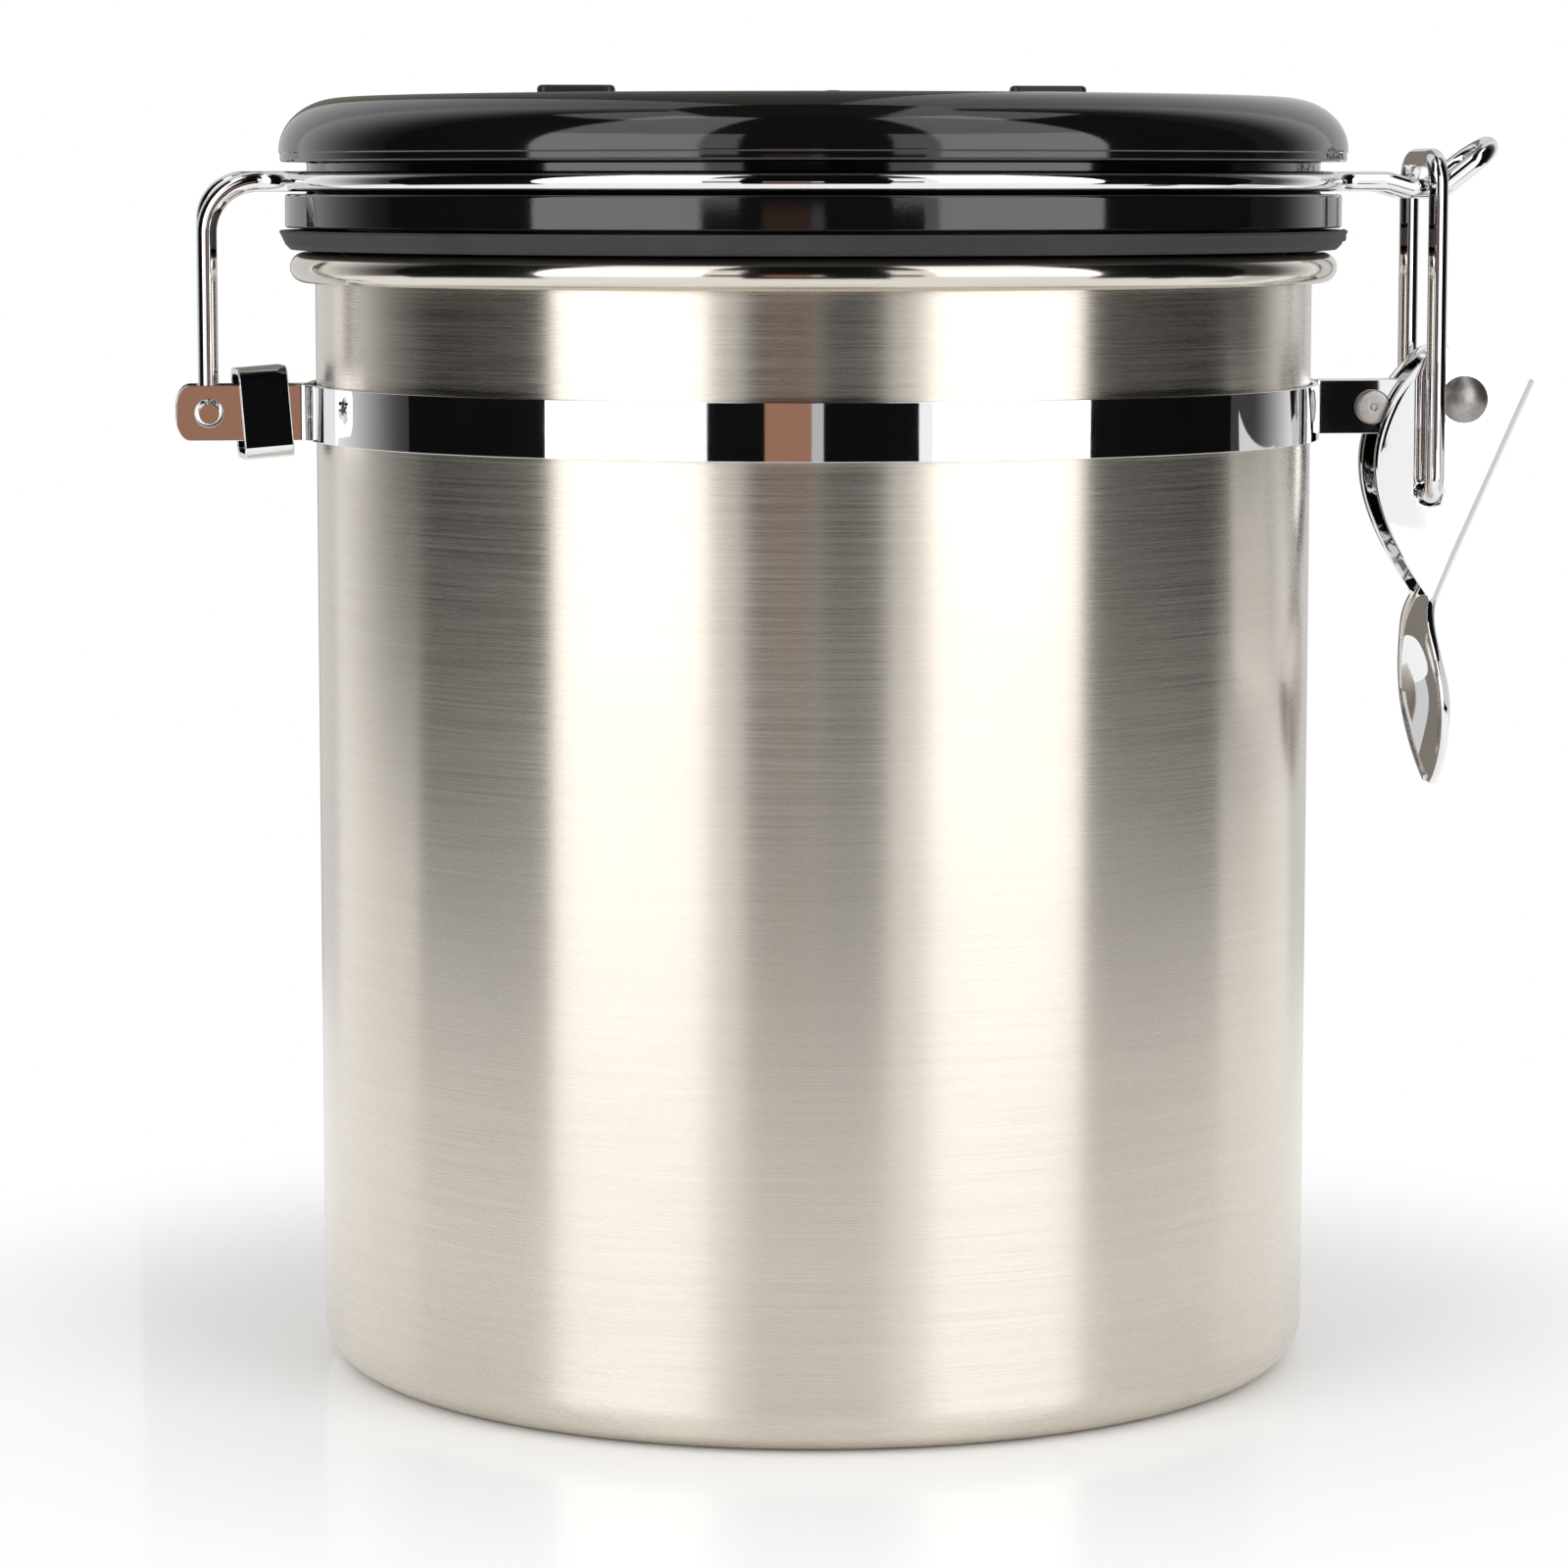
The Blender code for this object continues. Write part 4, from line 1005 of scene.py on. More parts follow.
def finish_piece(piece: bpy.types.Object, look: Finish, body: Body, slot: Slot, *nodes: str) -> None:
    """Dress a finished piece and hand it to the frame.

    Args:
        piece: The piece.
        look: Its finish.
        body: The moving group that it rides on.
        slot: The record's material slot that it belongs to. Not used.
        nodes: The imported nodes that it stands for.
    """
    piece.data.name = piece.name
    piece.data.materials.clear()
    piece.data.materials.append(look.material())
    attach(piece, body.value)
    if nodes:
        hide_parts(*nodes)
    LOG.info("%s: %d faces, on %s", piece.name, len(piece.data.polygons), body.value)


@dataclass(frozen=True)
class Fit:
    """Sizes and places that several pieces share."""

    gap: float = 0.3 * MM
    can_radius: float = 60.0 * MM
    wire: float = 1.2 * MM
    band_mid: float = 115.3 * MM
    band_height: float = 6.6 * MM
    gasket_base: float = 134.6 * MM
    gasket_top: float = 136.9 * MM
    collar_base: float = 137.2 * MM
    collar_top: float = 141.2 * MM
    ring_height: float = 142.7 * MM
    flange_base: float = 145.0 * MM
    lid_top: float = 152.6 * MM
    lid_radius: float = 64.2 * MM
    plate_base: float = 148.4 * MM
    dial_floor: float = 150.2 * MM
    dial_lip: float = 151.3 * MM
    chimney: float = 8.0 * MM
    liner_base: float = 129.6 * MM
    hinge_reach: float = 72.9 * MM
    lever_reach: float = 79.7 * MM
    lever_height: float = 116.2 * MM
    bail_reach: float = 75.4 * MM
    bail_height: float = 104.8 * MM


FIT = Fit()


# Studio


@dataclass(frozen=True)
class Card:
    """A card that only mirrored light sees, with its ends in degrees to the right of the camera."""

    name: str
    start: float
    end: float
    level: float
    radius: float = 0.30
    low: float = 0.022
    top: float = 1.2
    tint: Colour = (1.0, 1.0, 1.0)
    fade: tuple[float, float] | None = None


@dataclass
class Studio:
    """Pale floor, white room, two soft boxes, cards between them and the camera of the photograph."""

    turn: float = math.radians(-7.0)
    pitch: float = math.radians(6.55)
    eye: tuple[float, float, float] = (-3.53 * MM, -638.5 * MM, 142.8 * MM)
    focal_pixels: float = 5363.0
    frame_pixels: float = 1600.0
    sensor: float = 36.0
    left_box_angle: float = -44.0
    right_box_angle: float = 46.0
    box_distance: float = 0.95
    box_width: float = 0.72
    box_height: float = 3.0
    box_power: float = 9.0
    ambient: float = 0.76
    floor_radius: float = 3.0
    floor_fade: tuple[float, float] = (0.07, 0.15)
    floor_matte: float = 0.98
    floor_gloss: float = 0.12
    ceiling_height: float = 3.1
    ceiling_radius: float = 4.8
    ceiling_level: float = 0.03
    skylights: tuple[tuple[float, float], ...] = ((-1.7, -0.76), (0.5, 1.7))
    skylight_depth: float = 1.6
    skylight_drop: float = 0.05
    cards: tuple[Card, ...] = (
        Card("front_lower_card", -14.0, 14.5, 0.004, top=0.09),
        Card("front_card", -21.0, 20.4, 0.004, low=0.09, top=0.14),
        Card("warm_card", -9.7, -0.6, 0.22, radius=0.298, low=0.09, top=0.14, tint=(1.52, 0.79, 0.52)),
        Card("front_pale_card", -0.6, 1.7, 0.5, radius=0.298, low=0.09, top=0.14),
        Card("front_middle_card", -14.0, 14.5, 0.004, low=0.14, top=0.45),
        Card("front_upper_card", -21.0, 20.4, 0.004, low=0.45),
        Card("left_card", -93.0, -55.4, 0.004, top=0.6),
        Card("right_card", 56.9, 97.0, 0.004, top=0.6),
        Card("left_fading_card", -132.0, -93.0, 0.05, low=0.05, fade=(0.055, 0.25)),
        Card("right_fading_card", 97.0, 133.0, 0.05, low=0.05, fade=(0.04, 0.19)),
        Card("right_pale_card", 133.0, 172.0, 0.68, low=0.002),
        Card("left_pale_card", 203.0, 228.0, 0.68, low=0.002),
        Card("rear_card", 172.0, 203.0, 0.2, low=0.002, tint=(1.12, 1.0, 0.86)),
        Card("latch_card", 55.5, 61.5, 0.004, radius=0.102, low=0.1075, top=0.119),
    )

    fill_spot: tuple[float, float, float] = (82.7 * MM, -3.4 * MM, 104.8 * MM)
    fill_radius: float = 30.0 * MM
    fill_half: float = 17.0 * MM
    fill_lean: float = math.radians(24.1)
    fill_level: float = 0.7

    def camera(self) -> None:
        """Set the camera where the photograph was taken."""
        data = bpy.data.cameras.new("camera")
        data.sensor_width = self.sensor
        data.lens = self.focal_pixels / self.frame_pixels * self.sensor
        data.clip_start = 0.01
        made = bpy.data.objects.new("camera", data)
        bpy.context.scene.collection.objects.link(made)
        made.location = Matrix.Rotation(self.turn, 3, "Z") @ Vector(self.eye)
        made.rotation_euler = (math.pi / 2 - self.pitch, 0.0, self.turn)
        bpy.context.scene.camera = made

    def soft_box(self, name: str, angle: float) -> None:
        """Hang one tall soft box.

        Args:
            name: The lamp's name.
            angle: Degrees to the right of the camera, seen from the can.
        """
        data = bpy.data.lights.new(name, "AREA")
        data.shape = "RECTANGLE"
        data.size = self.box_width
        data.size_y = self.box_height
        data.energy = self.box_power
        made = bpy.data.objects.new(name, data)
        bpy.context.scene.collection.objects.link(made)
        heading = math.radians(angle) + self.turn
        spot = Vector((math.sin(heading), -math.cos(heading), 0.0)) * self.box_distance
        spot.z = self.box_height / 2
        made.location = spot
        made.rotation_euler = (math.pi / 2, 0.0, heading)
        made.visible_camera = False

    def backdrop(self, paint: Paint) -> Value:
        """White to the camera and in what is mirrored, and the ambient level to matte surfaces.

        Args:
            paint: The tree that asks.

        Returns:
            The strength.
        """
        light_path = paint.node("ShaderNodeLightPath")
        seen = paint.out(light_path, "Is Camera Ray") + paint.out(light_path, "Is Glossy Ray")
        seen = (seen + paint.out(light_path, "Is Transmission Ray")).smooth(0.0, 1.0)
        return seen * (1.0 - self.ambient) + self.ambient

    def room(self) -> None:
        """Surround everything with white."""
        world = bpy.data.worlds.new("studio")
        bpy.context.scene.world = world
        world.use_nodes = True
        paint = Paint(world.node_tree)
        inputs = {"Strength": self.backdrop(paint), "Color": WHITE}
        paint.end(paint.node("ShaderNodeBackground", inputs=inputs), "ShaderNodeOutputWorld")

    def disc(self, name: str, radius: float, height: float) -> bpy.types.Object:
        """Lay a round sheet over the object or under it.

        Args:
            name: Its name.
            radius: Its radius.
            height: Its height.

        Returns:
            The sheet.
        """
        deselect()
        bpy.ops.mesh.primitive_circle_add(
            vertices=64, radius=radius, fill_type="NGON", location=(0.0, 0.0, height)
        )
        sheet = bpy.context.object
        sheet.name = name
        return sheet

    def coat(self, piece: bpy.types.Object) -> Paint:
        """Give a piece of the studio an empty material of its own.

        Args:
            piece: The piece.

        Returns:
            The material's tree.
        """
        material = bpy.data.materials.new(piece.name)
        material.use_nodes = True
        piece.data.materials.append(material)
        return Paint(material.node_tree)

    def floor(self) -> None:
        """Pale glossy floor that fades into the white room."""
        piece = self.disc("studio_floor", self.floor_radius, 0.0)
        paint = self.coat(piece)
        distance = paint.node("ShaderNodeVectorMath", {"operation": "LENGTH"}, {0: paint.place()})
        far = paint.out(distance, "Value").smooth(*self.floor_fade)
        pale = (self.floor_matte, self.floor_matte, self.floor_matte, 1.0)
        matte = paint.node("ShaderNodeBsdfDiffuse", inputs={"Color": pale})
        gloss = paint.node("ShaderNodeBsdfGlossy", inputs={"Color": WHITE, "Roughness": 0.05})
        sheen = {0: self.floor_gloss, 1: paint.out(matte), 2: paint.out(gloss)}
        near = paint.node("ShaderNodeMixShader", inputs=sheen)
        white = paint.node("ShaderNodeEmission", inputs={"Color": WHITE, "Strength": self.backdrop(paint)})
        fade = {0: far, 1: paint.out(near), 2: paint.out(white)}
        paint.end(paint.node("ShaderNodeMixShader", inputs=fade))

    def stand(
        self,
        piece: bpy.types.Object,
        level: float,
        tint: Sequence[float] = (1.0, 1.0, 1.0),
        fade: tuple[float, float] | None = None,
    ) -> None:
        """Make a card of a piece.

        Args:
            piece: The sheet.
            level: How bright it looks in a mirror.
            tint: Its colour at that level.
            fade: Where along Y it starts to fade into the white room, and where it ends.
        """
        paint = self.coat(piece)
        strength: Value | float = level
        if fade:
            strength = paint.axis("Y").smooth(*fade) * (1.0 - level) + level
        paint.end(paint.node("ShaderNodeEmission", inputs={"Color": (*tint, 1.0), "Strength": strength}))
        for ray in ("camera", "diffuse", "transmission", "volume_scatter", "shadow"):
            setattr(piece, f"visible_{ray}", False)

    def dark_cards(self) -> None:
        """Stand the cards round the object, and hang a dark ceiling with two skylights overhead."""
        front = math.degrees(self.turn) - 90.0
        for card in self.cards:
            line = arc((0.0, 0.0), card.radius, front + card.start, front + card.end, 24)
            sheet = strip_on_edge(card.name, line, card.low, card.top)
            self.stand(sheet, card.level, card.tint, card.fade)
        self.stand(self.disc("ceiling_card", self.ceiling_radius, self.ceiling_height), self.ceiling_level)
        for index, (left, right) in enumerate(self.skylights):
            deselect()
            height = self.ceiling_height - self.skylight_drop
            bpy.ops.mesh.primitive_plane_add(size=1.0, location=((left + right) / 2, 0.0, height))
            sheet = bpy.context.object
            sheet.name = f"skylight_{index}"
            sheet.scale = (right - left, self.skylight_depth, 1.0)
            settle(sheet)
            sheet.data.transform(Matrix.Rotation(self.turn, 4, "Z"))
            self.stand(sheet, 1.0)

    def lever_card(self) -> None:
        """Stand a small curved pale card clear of the latch, for the lever's front bend to mirror."""
        line = arc((0.0, 0.0), self.fill_radius, -60.0, 10.0, 12)
        sheet = strip_on_edge("lever_card", line, -self.fill_half, self.fill_half)
        sheet.data.transform(Matrix.Translation(self.fill_spot) @ Matrix.Rotation(self.fill_lean, 4, "Y"))
        self.stand(sheet, self.fill_level)

    def build(self) -> None:
        """Set up camera, lights, room, floor and cards."""
        bpy.context.scene.view_settings.view_transform = "Standard"
        self.camera()
        self.soft_box("left_soft_box", self.left_box_angle)
        self.soft_box("right_soft_box", self.right_box_angle)
        self.room()
        self.floor()
        self.dark_cards()
        self.lever_card()


# Can


@dataclass
class Can:
    """Drawn steel can with a rolled rim."""

    radius: float = 60.0 * MM
    wall: float = 0.6 * MM
    corner: float = 5.0 * MM
    curl: float = 1.8 * MM
    curl_height: float = 132.5 * MM
    ring_radius: float = 42.0 * MM
    ring_width: float = 3.0 * MM
    ring_depth: float = 0.9 * MM
    ring_round: float = 0.8 * MM
    curl_end: float = 180.0 - 360.0 * 0.80
    sharp: float = 40.0

    def pressed_ring(self, base: float) -> list[Corner]:
        """Corners of the ring that is pressed into the base.

        Args:
            base: Height of the sheet's face beside the ring.

        Returns:
            Radius, height and rounding of each corner.
        """
        half, slope, high = self.ring_width / 2, self.ring_depth, self.ring_depth + base
        return [
            (self.ring_radius - half - slope, base, self.ring_round),
            (self.ring_radius - half, high, self.ring_round),
            (self.ring_radius + half, high, self.ring_round),
            (self.ring_radius + half + slope, base, self.ring_round),
        ]

    def outline(self) -> Outline:
        """The can's wall in section, outside first.

        Returns:
            Radius and height of each point.
        """
        edge = self.radius - self.corner
        outside = rounded([(0.0, 0.0, 0.0), *self.pressed_ring(0.0), (edge, 0.0, 0.0)], 4, closed=False)
        outside += arc((edge, self.corner), self.corner, -90.0, 0.0, 14)[1:]
        centre = (self.radius - self.wall + self.curl, self.curl_height)
        under = arc(centre, self.curl - self.wall, 180.0, self.curl_end, 24)
        over = arc(centre, self.curl, self.curl_end, 180.0, 30)
        inside = arc((edge, self.corner), self.corner - self.wall, 0.0, -90.0, 10)
        ring = reversed(self.pressed_ring(self.wall))
        floor = rounded([(edge, self.wall, 0.0), *ring, (0.0, self.wall, 0.0)], 4, closed=False)
        return outside + under + over + inside + floor[1:]

    def build(self) -> None:
        """Turn the can and dress it."""
        can = lathe("can_shell", self.outline(), 256, self.sharp)
        finish_piece(can, STEEL, Body.CAN, Slot.STEEL, "canister_body")


# Clamp band


@dataclass
class ClampBand:
    """Two plated half bands, the keeper on their hinge ears and the rivets through their latch ears."""

    thick: float = 0.8 * MM
    bend: float = 1.6 * MM
    hinge_end: float = 76.8 * MM
    hinge_split: float = 5.7 * MM
    hinge_corner: float = 2.7 * MM
    hinge_flatten: float = 0.62
    latch_end: float = 83.2 * MM
    latch_split: float = 3.4 * MM
    latch_corner: float = 3.0 * MM
    corner_share: float = 0.98
    hinge_hole: float = 1.65 * MM
    rivet_reach: float = 68.7 * MM
    rivet_radius: float = 1.2 * MM
    rivet_head: float = 2.1 * MM
    rivet_rise: float = 0.6 * MM
    rivet_dimple: float = 0.12 * MM
    pin_radius: float = 1.5 * MM
    pin_head: float = 2.88 * MM
    pin_rise: float = 1.1 * MM
    pin_half_length: float = 4.8 * MM
    spacer_wall: float = 0.8 * MM
    keeper_width: float = 5.8 * MM
    keeper_thick: float = 0.7 * MM
    keeper_corner: float = 1.6 * MM
    keeper_half_depth: float = 4.85 * MM
    keeper_half_height: float = 5.4 * MM
    keeper_reach: float = 66.5 * MM
    keeper_tilt: float = 4.5
    keeper_yaw: float = 5.0
    edge: float = 0.13 * MM

    def line(self, side: int) -> Outline:
        """Middle line of a half band from hinge ear to latch ear, seen from above.

        Args:
            side: -1 for the front half, 1 for the rear half.

        Returns:
            Points as X and Y.
        """
        centre = FIT.can_radius + FIT.gap + self.thick / 2
        hinge_y = (self.hinge_split + self.thick) / 2
        latch_y = (self.latch_split + self.thick) / 2
        reach = centre + self.bend
        hinge_x = math.sqrt(reach**2 - (hinge_y + self.bend) ** 2)
        latch_x = math.sqrt(reach**2 - (latch_y + self.bend) ** 2)
        hinge_turn = math.degrees(math.atan2(hinge_y + self.bend, hinge_x))
        latch_turn = math.degrees(math.atan2(latch_y + self.bend, latch_x))
        points = [(-self.hinge_end, hinge_y), (-self.hinge_end + self.hinge_corner, hinge_y)]
        points += arc((-hinge_x, hinge_y + self.bend), self.bend, -90.0, -hinge_turn, 12)
        points += arc((0.0, 0.0), centre, 180.0 - hinge_turn, latch_turn, 120)[1:]
        points += arc((latch_x, latch_y + self.bend), self.bend, 180.0 + latch_turn, 270.0, 12)[1:]
        points += [(self.latch_end - self.latch_corner, latch_y), (self.latch_end, latch_y)]
        return [(x, side * y) for x, y in points]

    def half(self, name: str, node: str, side: int) -> None:
        """Bend one half band, round its ears and drill them.

        Args:
            name: The piece's name.
            node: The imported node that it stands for.
            side: -1 for the front half, 1 for the rear half.
        """
        low, high = FIT.band_mid - FIT.band_height / 2, FIT.band_mid + FIT.band_height / 2
        band = strip_on_edge(name, self.line(side), low, high)
        thicken(band, self.thick)
        for end, corner in ((-self.hinge_end, self.hinge_corner), (self.latch_end, self.latch_corner)):
            bevel_edges(
                band,
                lambda a, b: max(abs(a.x - end), abs(b.x - end), abs(a.z - b.z)) < MERGE,
                corner * self.corner_share,
                10,
            )
        start = -self.hinge_end + self.hinge_corner
        for vertex in band.data.vertices:
            if vertex.co.x < start:
                vertex.co.x = start + (vertex.co.x - start) * self.hinge_flatten
                vertex.co.x -= self.hinge_corner * (1.0 - self.hinge_flatten)
        inner, outer = -MM, self.hinge_split / 2 + self.thick + MM
        for x, z, radius in (
            (-FIT.hinge_reach, FIT.band_mid, self.hinge_hole),
            (self.rivet_reach, FIT.band_mid, self.rivet_radius + FIT.gap),
            (FIT.lever_reach, FIT.lever_height, self.pin_radius + FIT.gap),
        ):
            drill(band, radius, Vector((x, side * inner, z)), Vector((x, side * outer, z)))
        soften(band, self.edge, 2, SHEET_SHARP)
        smooth(band, SHEET_SHARP)
        finish_piece(band, CHROME, Body.CAN, Slot.CHROME, node)

    def keeper(self) -> None:
        """Bend the keeper's loop, and hang it slightly askew."""
        y, z = self.keeper_half_depth, self.keeper_half_height
        corner = self.keeper_corner
        loop = rounded([(y, z, corner), (-y, z, corner), (-y, -z, corner), (y, -z, corner)], 8)
        points = [Vector((-self.keeper_width / 2, across, up)) for across, up in loop]
        piece = ribbon("keeper_loop", points + points[:1], (self.keeper_width, 0.0, 0.0))
        thicken(piece, self.keeper_thick, -1.0)
        soften(piece, self.edge, 2, SHEET_SHARP)
        piece.rotation_mode = "YXZ"
        tilt = Matrix.Rotation(math.radians(-self.keeper_tilt), 3, "Y")
        piece.rotation_euler = (tilt @ Matrix.Rotation(math.radians(self.keeper_yaw), 3, "Z")).to_euler("YXZ")
        piece.location = (-self.keeper_reach, 0.0, FIT.band_mid)
        settle(piece)
        smooth(piece, SHEET_SHARP)
        finish_piece(piece, CHROME, Body.CAN, Slot.CHROME, "band_keeper")

    def rivets(self) -> None:
        """Turn the flat-headed ear rivet, the domed latch pin and the two spacer tubes."""
        neck = self.latch_split / 2 + self.thick + FIT.gap
        face = neck + self.rivet_rise
        half_head = [
            (self.rivet_radius, neck, 0.0),
            (self.rivet_head, neck, 0.08 * MM),
            (self.rivet_head, face, 0.35 * MM),
            (0.5 * MM, face, EASED),
            (0.3 * MM, face - self.rivet_dimple, CRISP),
            (0.0, face - self.rivet_dimple, 0.0),
        ]
        lower = [(r, -z, round_off) for r, z, round_off in reversed(half_head)]
        rivet = turned("ear_rivet_turned", lower + half_head, 64, RIVET_SHARP, 5)
        laid_on_y(rivet, Vector((self.rivet_reach, 0.0, FIT.band_mid)))
        finish_piece(rivet, RIVET, Body.CAN, Slot.RIVET, "ear_rivet")

        sphere = (self.pin_head**2 + self.pin_rise**2) / (2 * self.pin_rise)
        drop = sphere - self.pin_rise
        start = math.degrees(math.acos(self.pin_head / sphere))
        dome = arc((0.0, self.pin_half_length - drop), sphere, start, 90.0, 20)
        dome[-1] = (0.0, self.pin_half_length + self.pin_rise)
        upper = [(self.pin_radius, self.pin_half_length)] + dome
        outline = [(r, -z) for r, z in reversed(upper)] + upper
        pin = lathe("latch_pin_turned", outline, 72, RIVET_SHARP)
        laid_on_y(pin, Vector((FIT.lever_reach, 0.0, FIT.lever_height)))
        finish_piece(pin, RIVET, Body.CAN, Slot.RIVET, "latch_pin")

        for name, node, reach, height, bore in (
            ("ear_spacer_tube", "ear_spacer", self.rivet_reach, FIT.band_mid, self.rivet_radius),
            ("latch_spacer_tube", "latch_spacer", FIT.lever_reach, FIT.lever_height, self.pin_radius),
        ):
            half = self.latch_split / 2 - FIT.gap
            inner, outer = bore + FIT.gap, bore + FIT.gap + self.spacer_wall
            corners = [(inner, -half), (outer, -half), (outer, half), (inner, half)]
            tube = turned(name, [(r, z, self.edge) for r, z in corners], 48, RIVET_SHARP, 3)
            laid_on_y(tube, Vector((reach, 0.0, height)))
            finish_piece(tube, RIVET, Body.CAN, Slot.RIVET, node)

    def build(self) -> None:
        """Make every piece of the band."""
        self.half("clamp_band_front", "band_front", -1)
        self.half("clamp_band_rear", "band_rear", 1)
        self.keeper()
        self.rivets()


# Wire that carries the lid


@dataclass
class LidWire:
    """One sprung wire: hinge pins with upset ends, legs, ring round the lid and the turned-up hook."""

    pin_end: float = 6.05 * MM
    pin_bend: float = 1.5 * MM
    shoulder_bend: float = 4.5 * MM
    shoulder_bend_near: float = 6.0 * MM
    shoulder_drop: float = 0.9 * MM
    ring_radius: float = 62.4 * MM
    hinge_flare: float = 5.0 * MM
    hook_flare: float = 4.0 * MM
    hook_split: float = 7.8 * MM
    hook_dip: float = 0.9 * MM
    hook_angle: float = 38.0
    hook_length: float = 8.4 * MM
    hook_bend: float = 2.0 * MM
    upset: tuple[Point2, ...] = (
        (-1.2 * MM, 1.0),
        (0.0, 1.35),
        (0.75 * MM, 1.0),
        (0.2 * MM, 0.93),
        (0.12 * MM, 0.86),
        (-0.22 * MM, 0.88),
        (0.27 * MM, 0.8),
        (0.08 * MM, 0.8),
        (-0.28 * MM, 0.7),
        (-0.15 * MM, 0.4),
    )

    def route(self) -> list[Vector]:
        """The wire's centre line from one hinge pin to the other.

        Returns:
            Its points.
        """
        leg = FIT.wire + FIT.gap / 2
        height = FIT.ring_height
        ring_reach = self.ring_radius + self.hinge_flare
        flare_y = leg + self.hinge_flare
        flare_x = math.sqrt(ring_reach**2 - flare_y**2)
        hook_y = self.hook_split / 2
        hook_reach = self.ring_radius + self.hook_flare
        hook_flare_y = hook_y + self.hook_flare
        hook_flare_x = math.sqrt(hook_reach**2 - hook_flare_y**2)
        hinge_turn = math.degrees(math.atan2(flare_y, flare_x))
        hook_turn = math.degrees(math.atan2(hook_flare_y, hook_flare_x))
        corners = [
            (-FIT.hinge_reach, self.pin_end, FIT.band_mid),
            (-FIT.hinge_reach, leg, FIT.band_mid),
            (-FIT.hinge_reach, leg, height),
            (-flare_x, leg, height),
        ]
        straight = route_through(corners, (self.pin_bend, self.shoulder_bend))[:-1]
        corners[2] = (-FIT.hinge_reach, leg, height - self.shoulder_drop)
        sagging = route_through(corners, (self.pin_bend, self.shoulder_bend_near))[:-1]
        route = list(straight)
        flat = arc((-flare_x, flare_y), self.hinge_flare, -90.0, -hinge_turn, 14)
        flat += arc((0.0, 0.0), self.ring_radius, 180.0 - hinge_turn, hook_turn, 110)[1:]
        flat += arc((hook_flare_x, hook_flare_y), self.hook_flare, 180.0 + hook_turn, 270.0, 14)[1:]
        route += [Vector((x, y, height)) for x, y in flat]
        slant = math.radians(self.hook_angle)
        rise = Vector((math.cos(slant), 0.0, math.sin(slant)))
        low = height - self.hook_dip
        turn = Vector((FIT.bail_reach + FIT.wire, hook_y, low)) + rise * (self.hook_length - hook_y)
        notch = [
            route[-1],
            (hook_flare_x + self.hook_flare, hook_y, height),
            (FIT.bail_reach - 2 * FIT.wire, hook_y, low),
            (FIT.bail_reach + FIT.wire, hook_y, low),
            turn,
        ]
        route += route_through(notch, (self.hook_flare, self.hook_flare, self.hook_bend))[1:]
        for i in range(1, 13):
            angle = math.pi / 2 * i / 12
            sideways = Vector((0.0, hook_y * (math.cos(angle) - 1.0), 0.0))
            route.append(turn + rise * (hook_y * math.sin(angle)) + sideways)
        near = sagging + route[len(straight) :]
        return route + mirrored(near)[1:]

    def upset_end(self, piece: bpy.types.Object, side: int) -> None:
        """Swell a hinge pin's end as if upset by a press, with a ring and a dimple in its face.

        Args:
            piece: The wire.
            side: -1 for the front pin, 1 for the rear pin.
        """
        end = side * self.pin_end
        pick(piece, "FACE", lambda face: abs(face.center.y - end) < MERGE and len(face.vertices) > 4)
        bpy.ops.transform.translate(value=(0.0, side * self.upset[0][0], 0.0))
        grow(self.upset[1:], (0.0, side, 0.0), (-FIT.hinge_reach, end, FIT.band_mid))

    def build(self) -> None:
        """Bend the wire and upset its ends."""
        piece = bent_wire("lid_wire_bent", self.route(), FIT.wire)
        for side in (-1, 1):
            self.upset_end(piece, side)
        smooth(piece, SHEET_SHARP)
        finish_piece(piece, CHROME, Body.LID, Slot.CHROME, "lid_wire")


# Lid


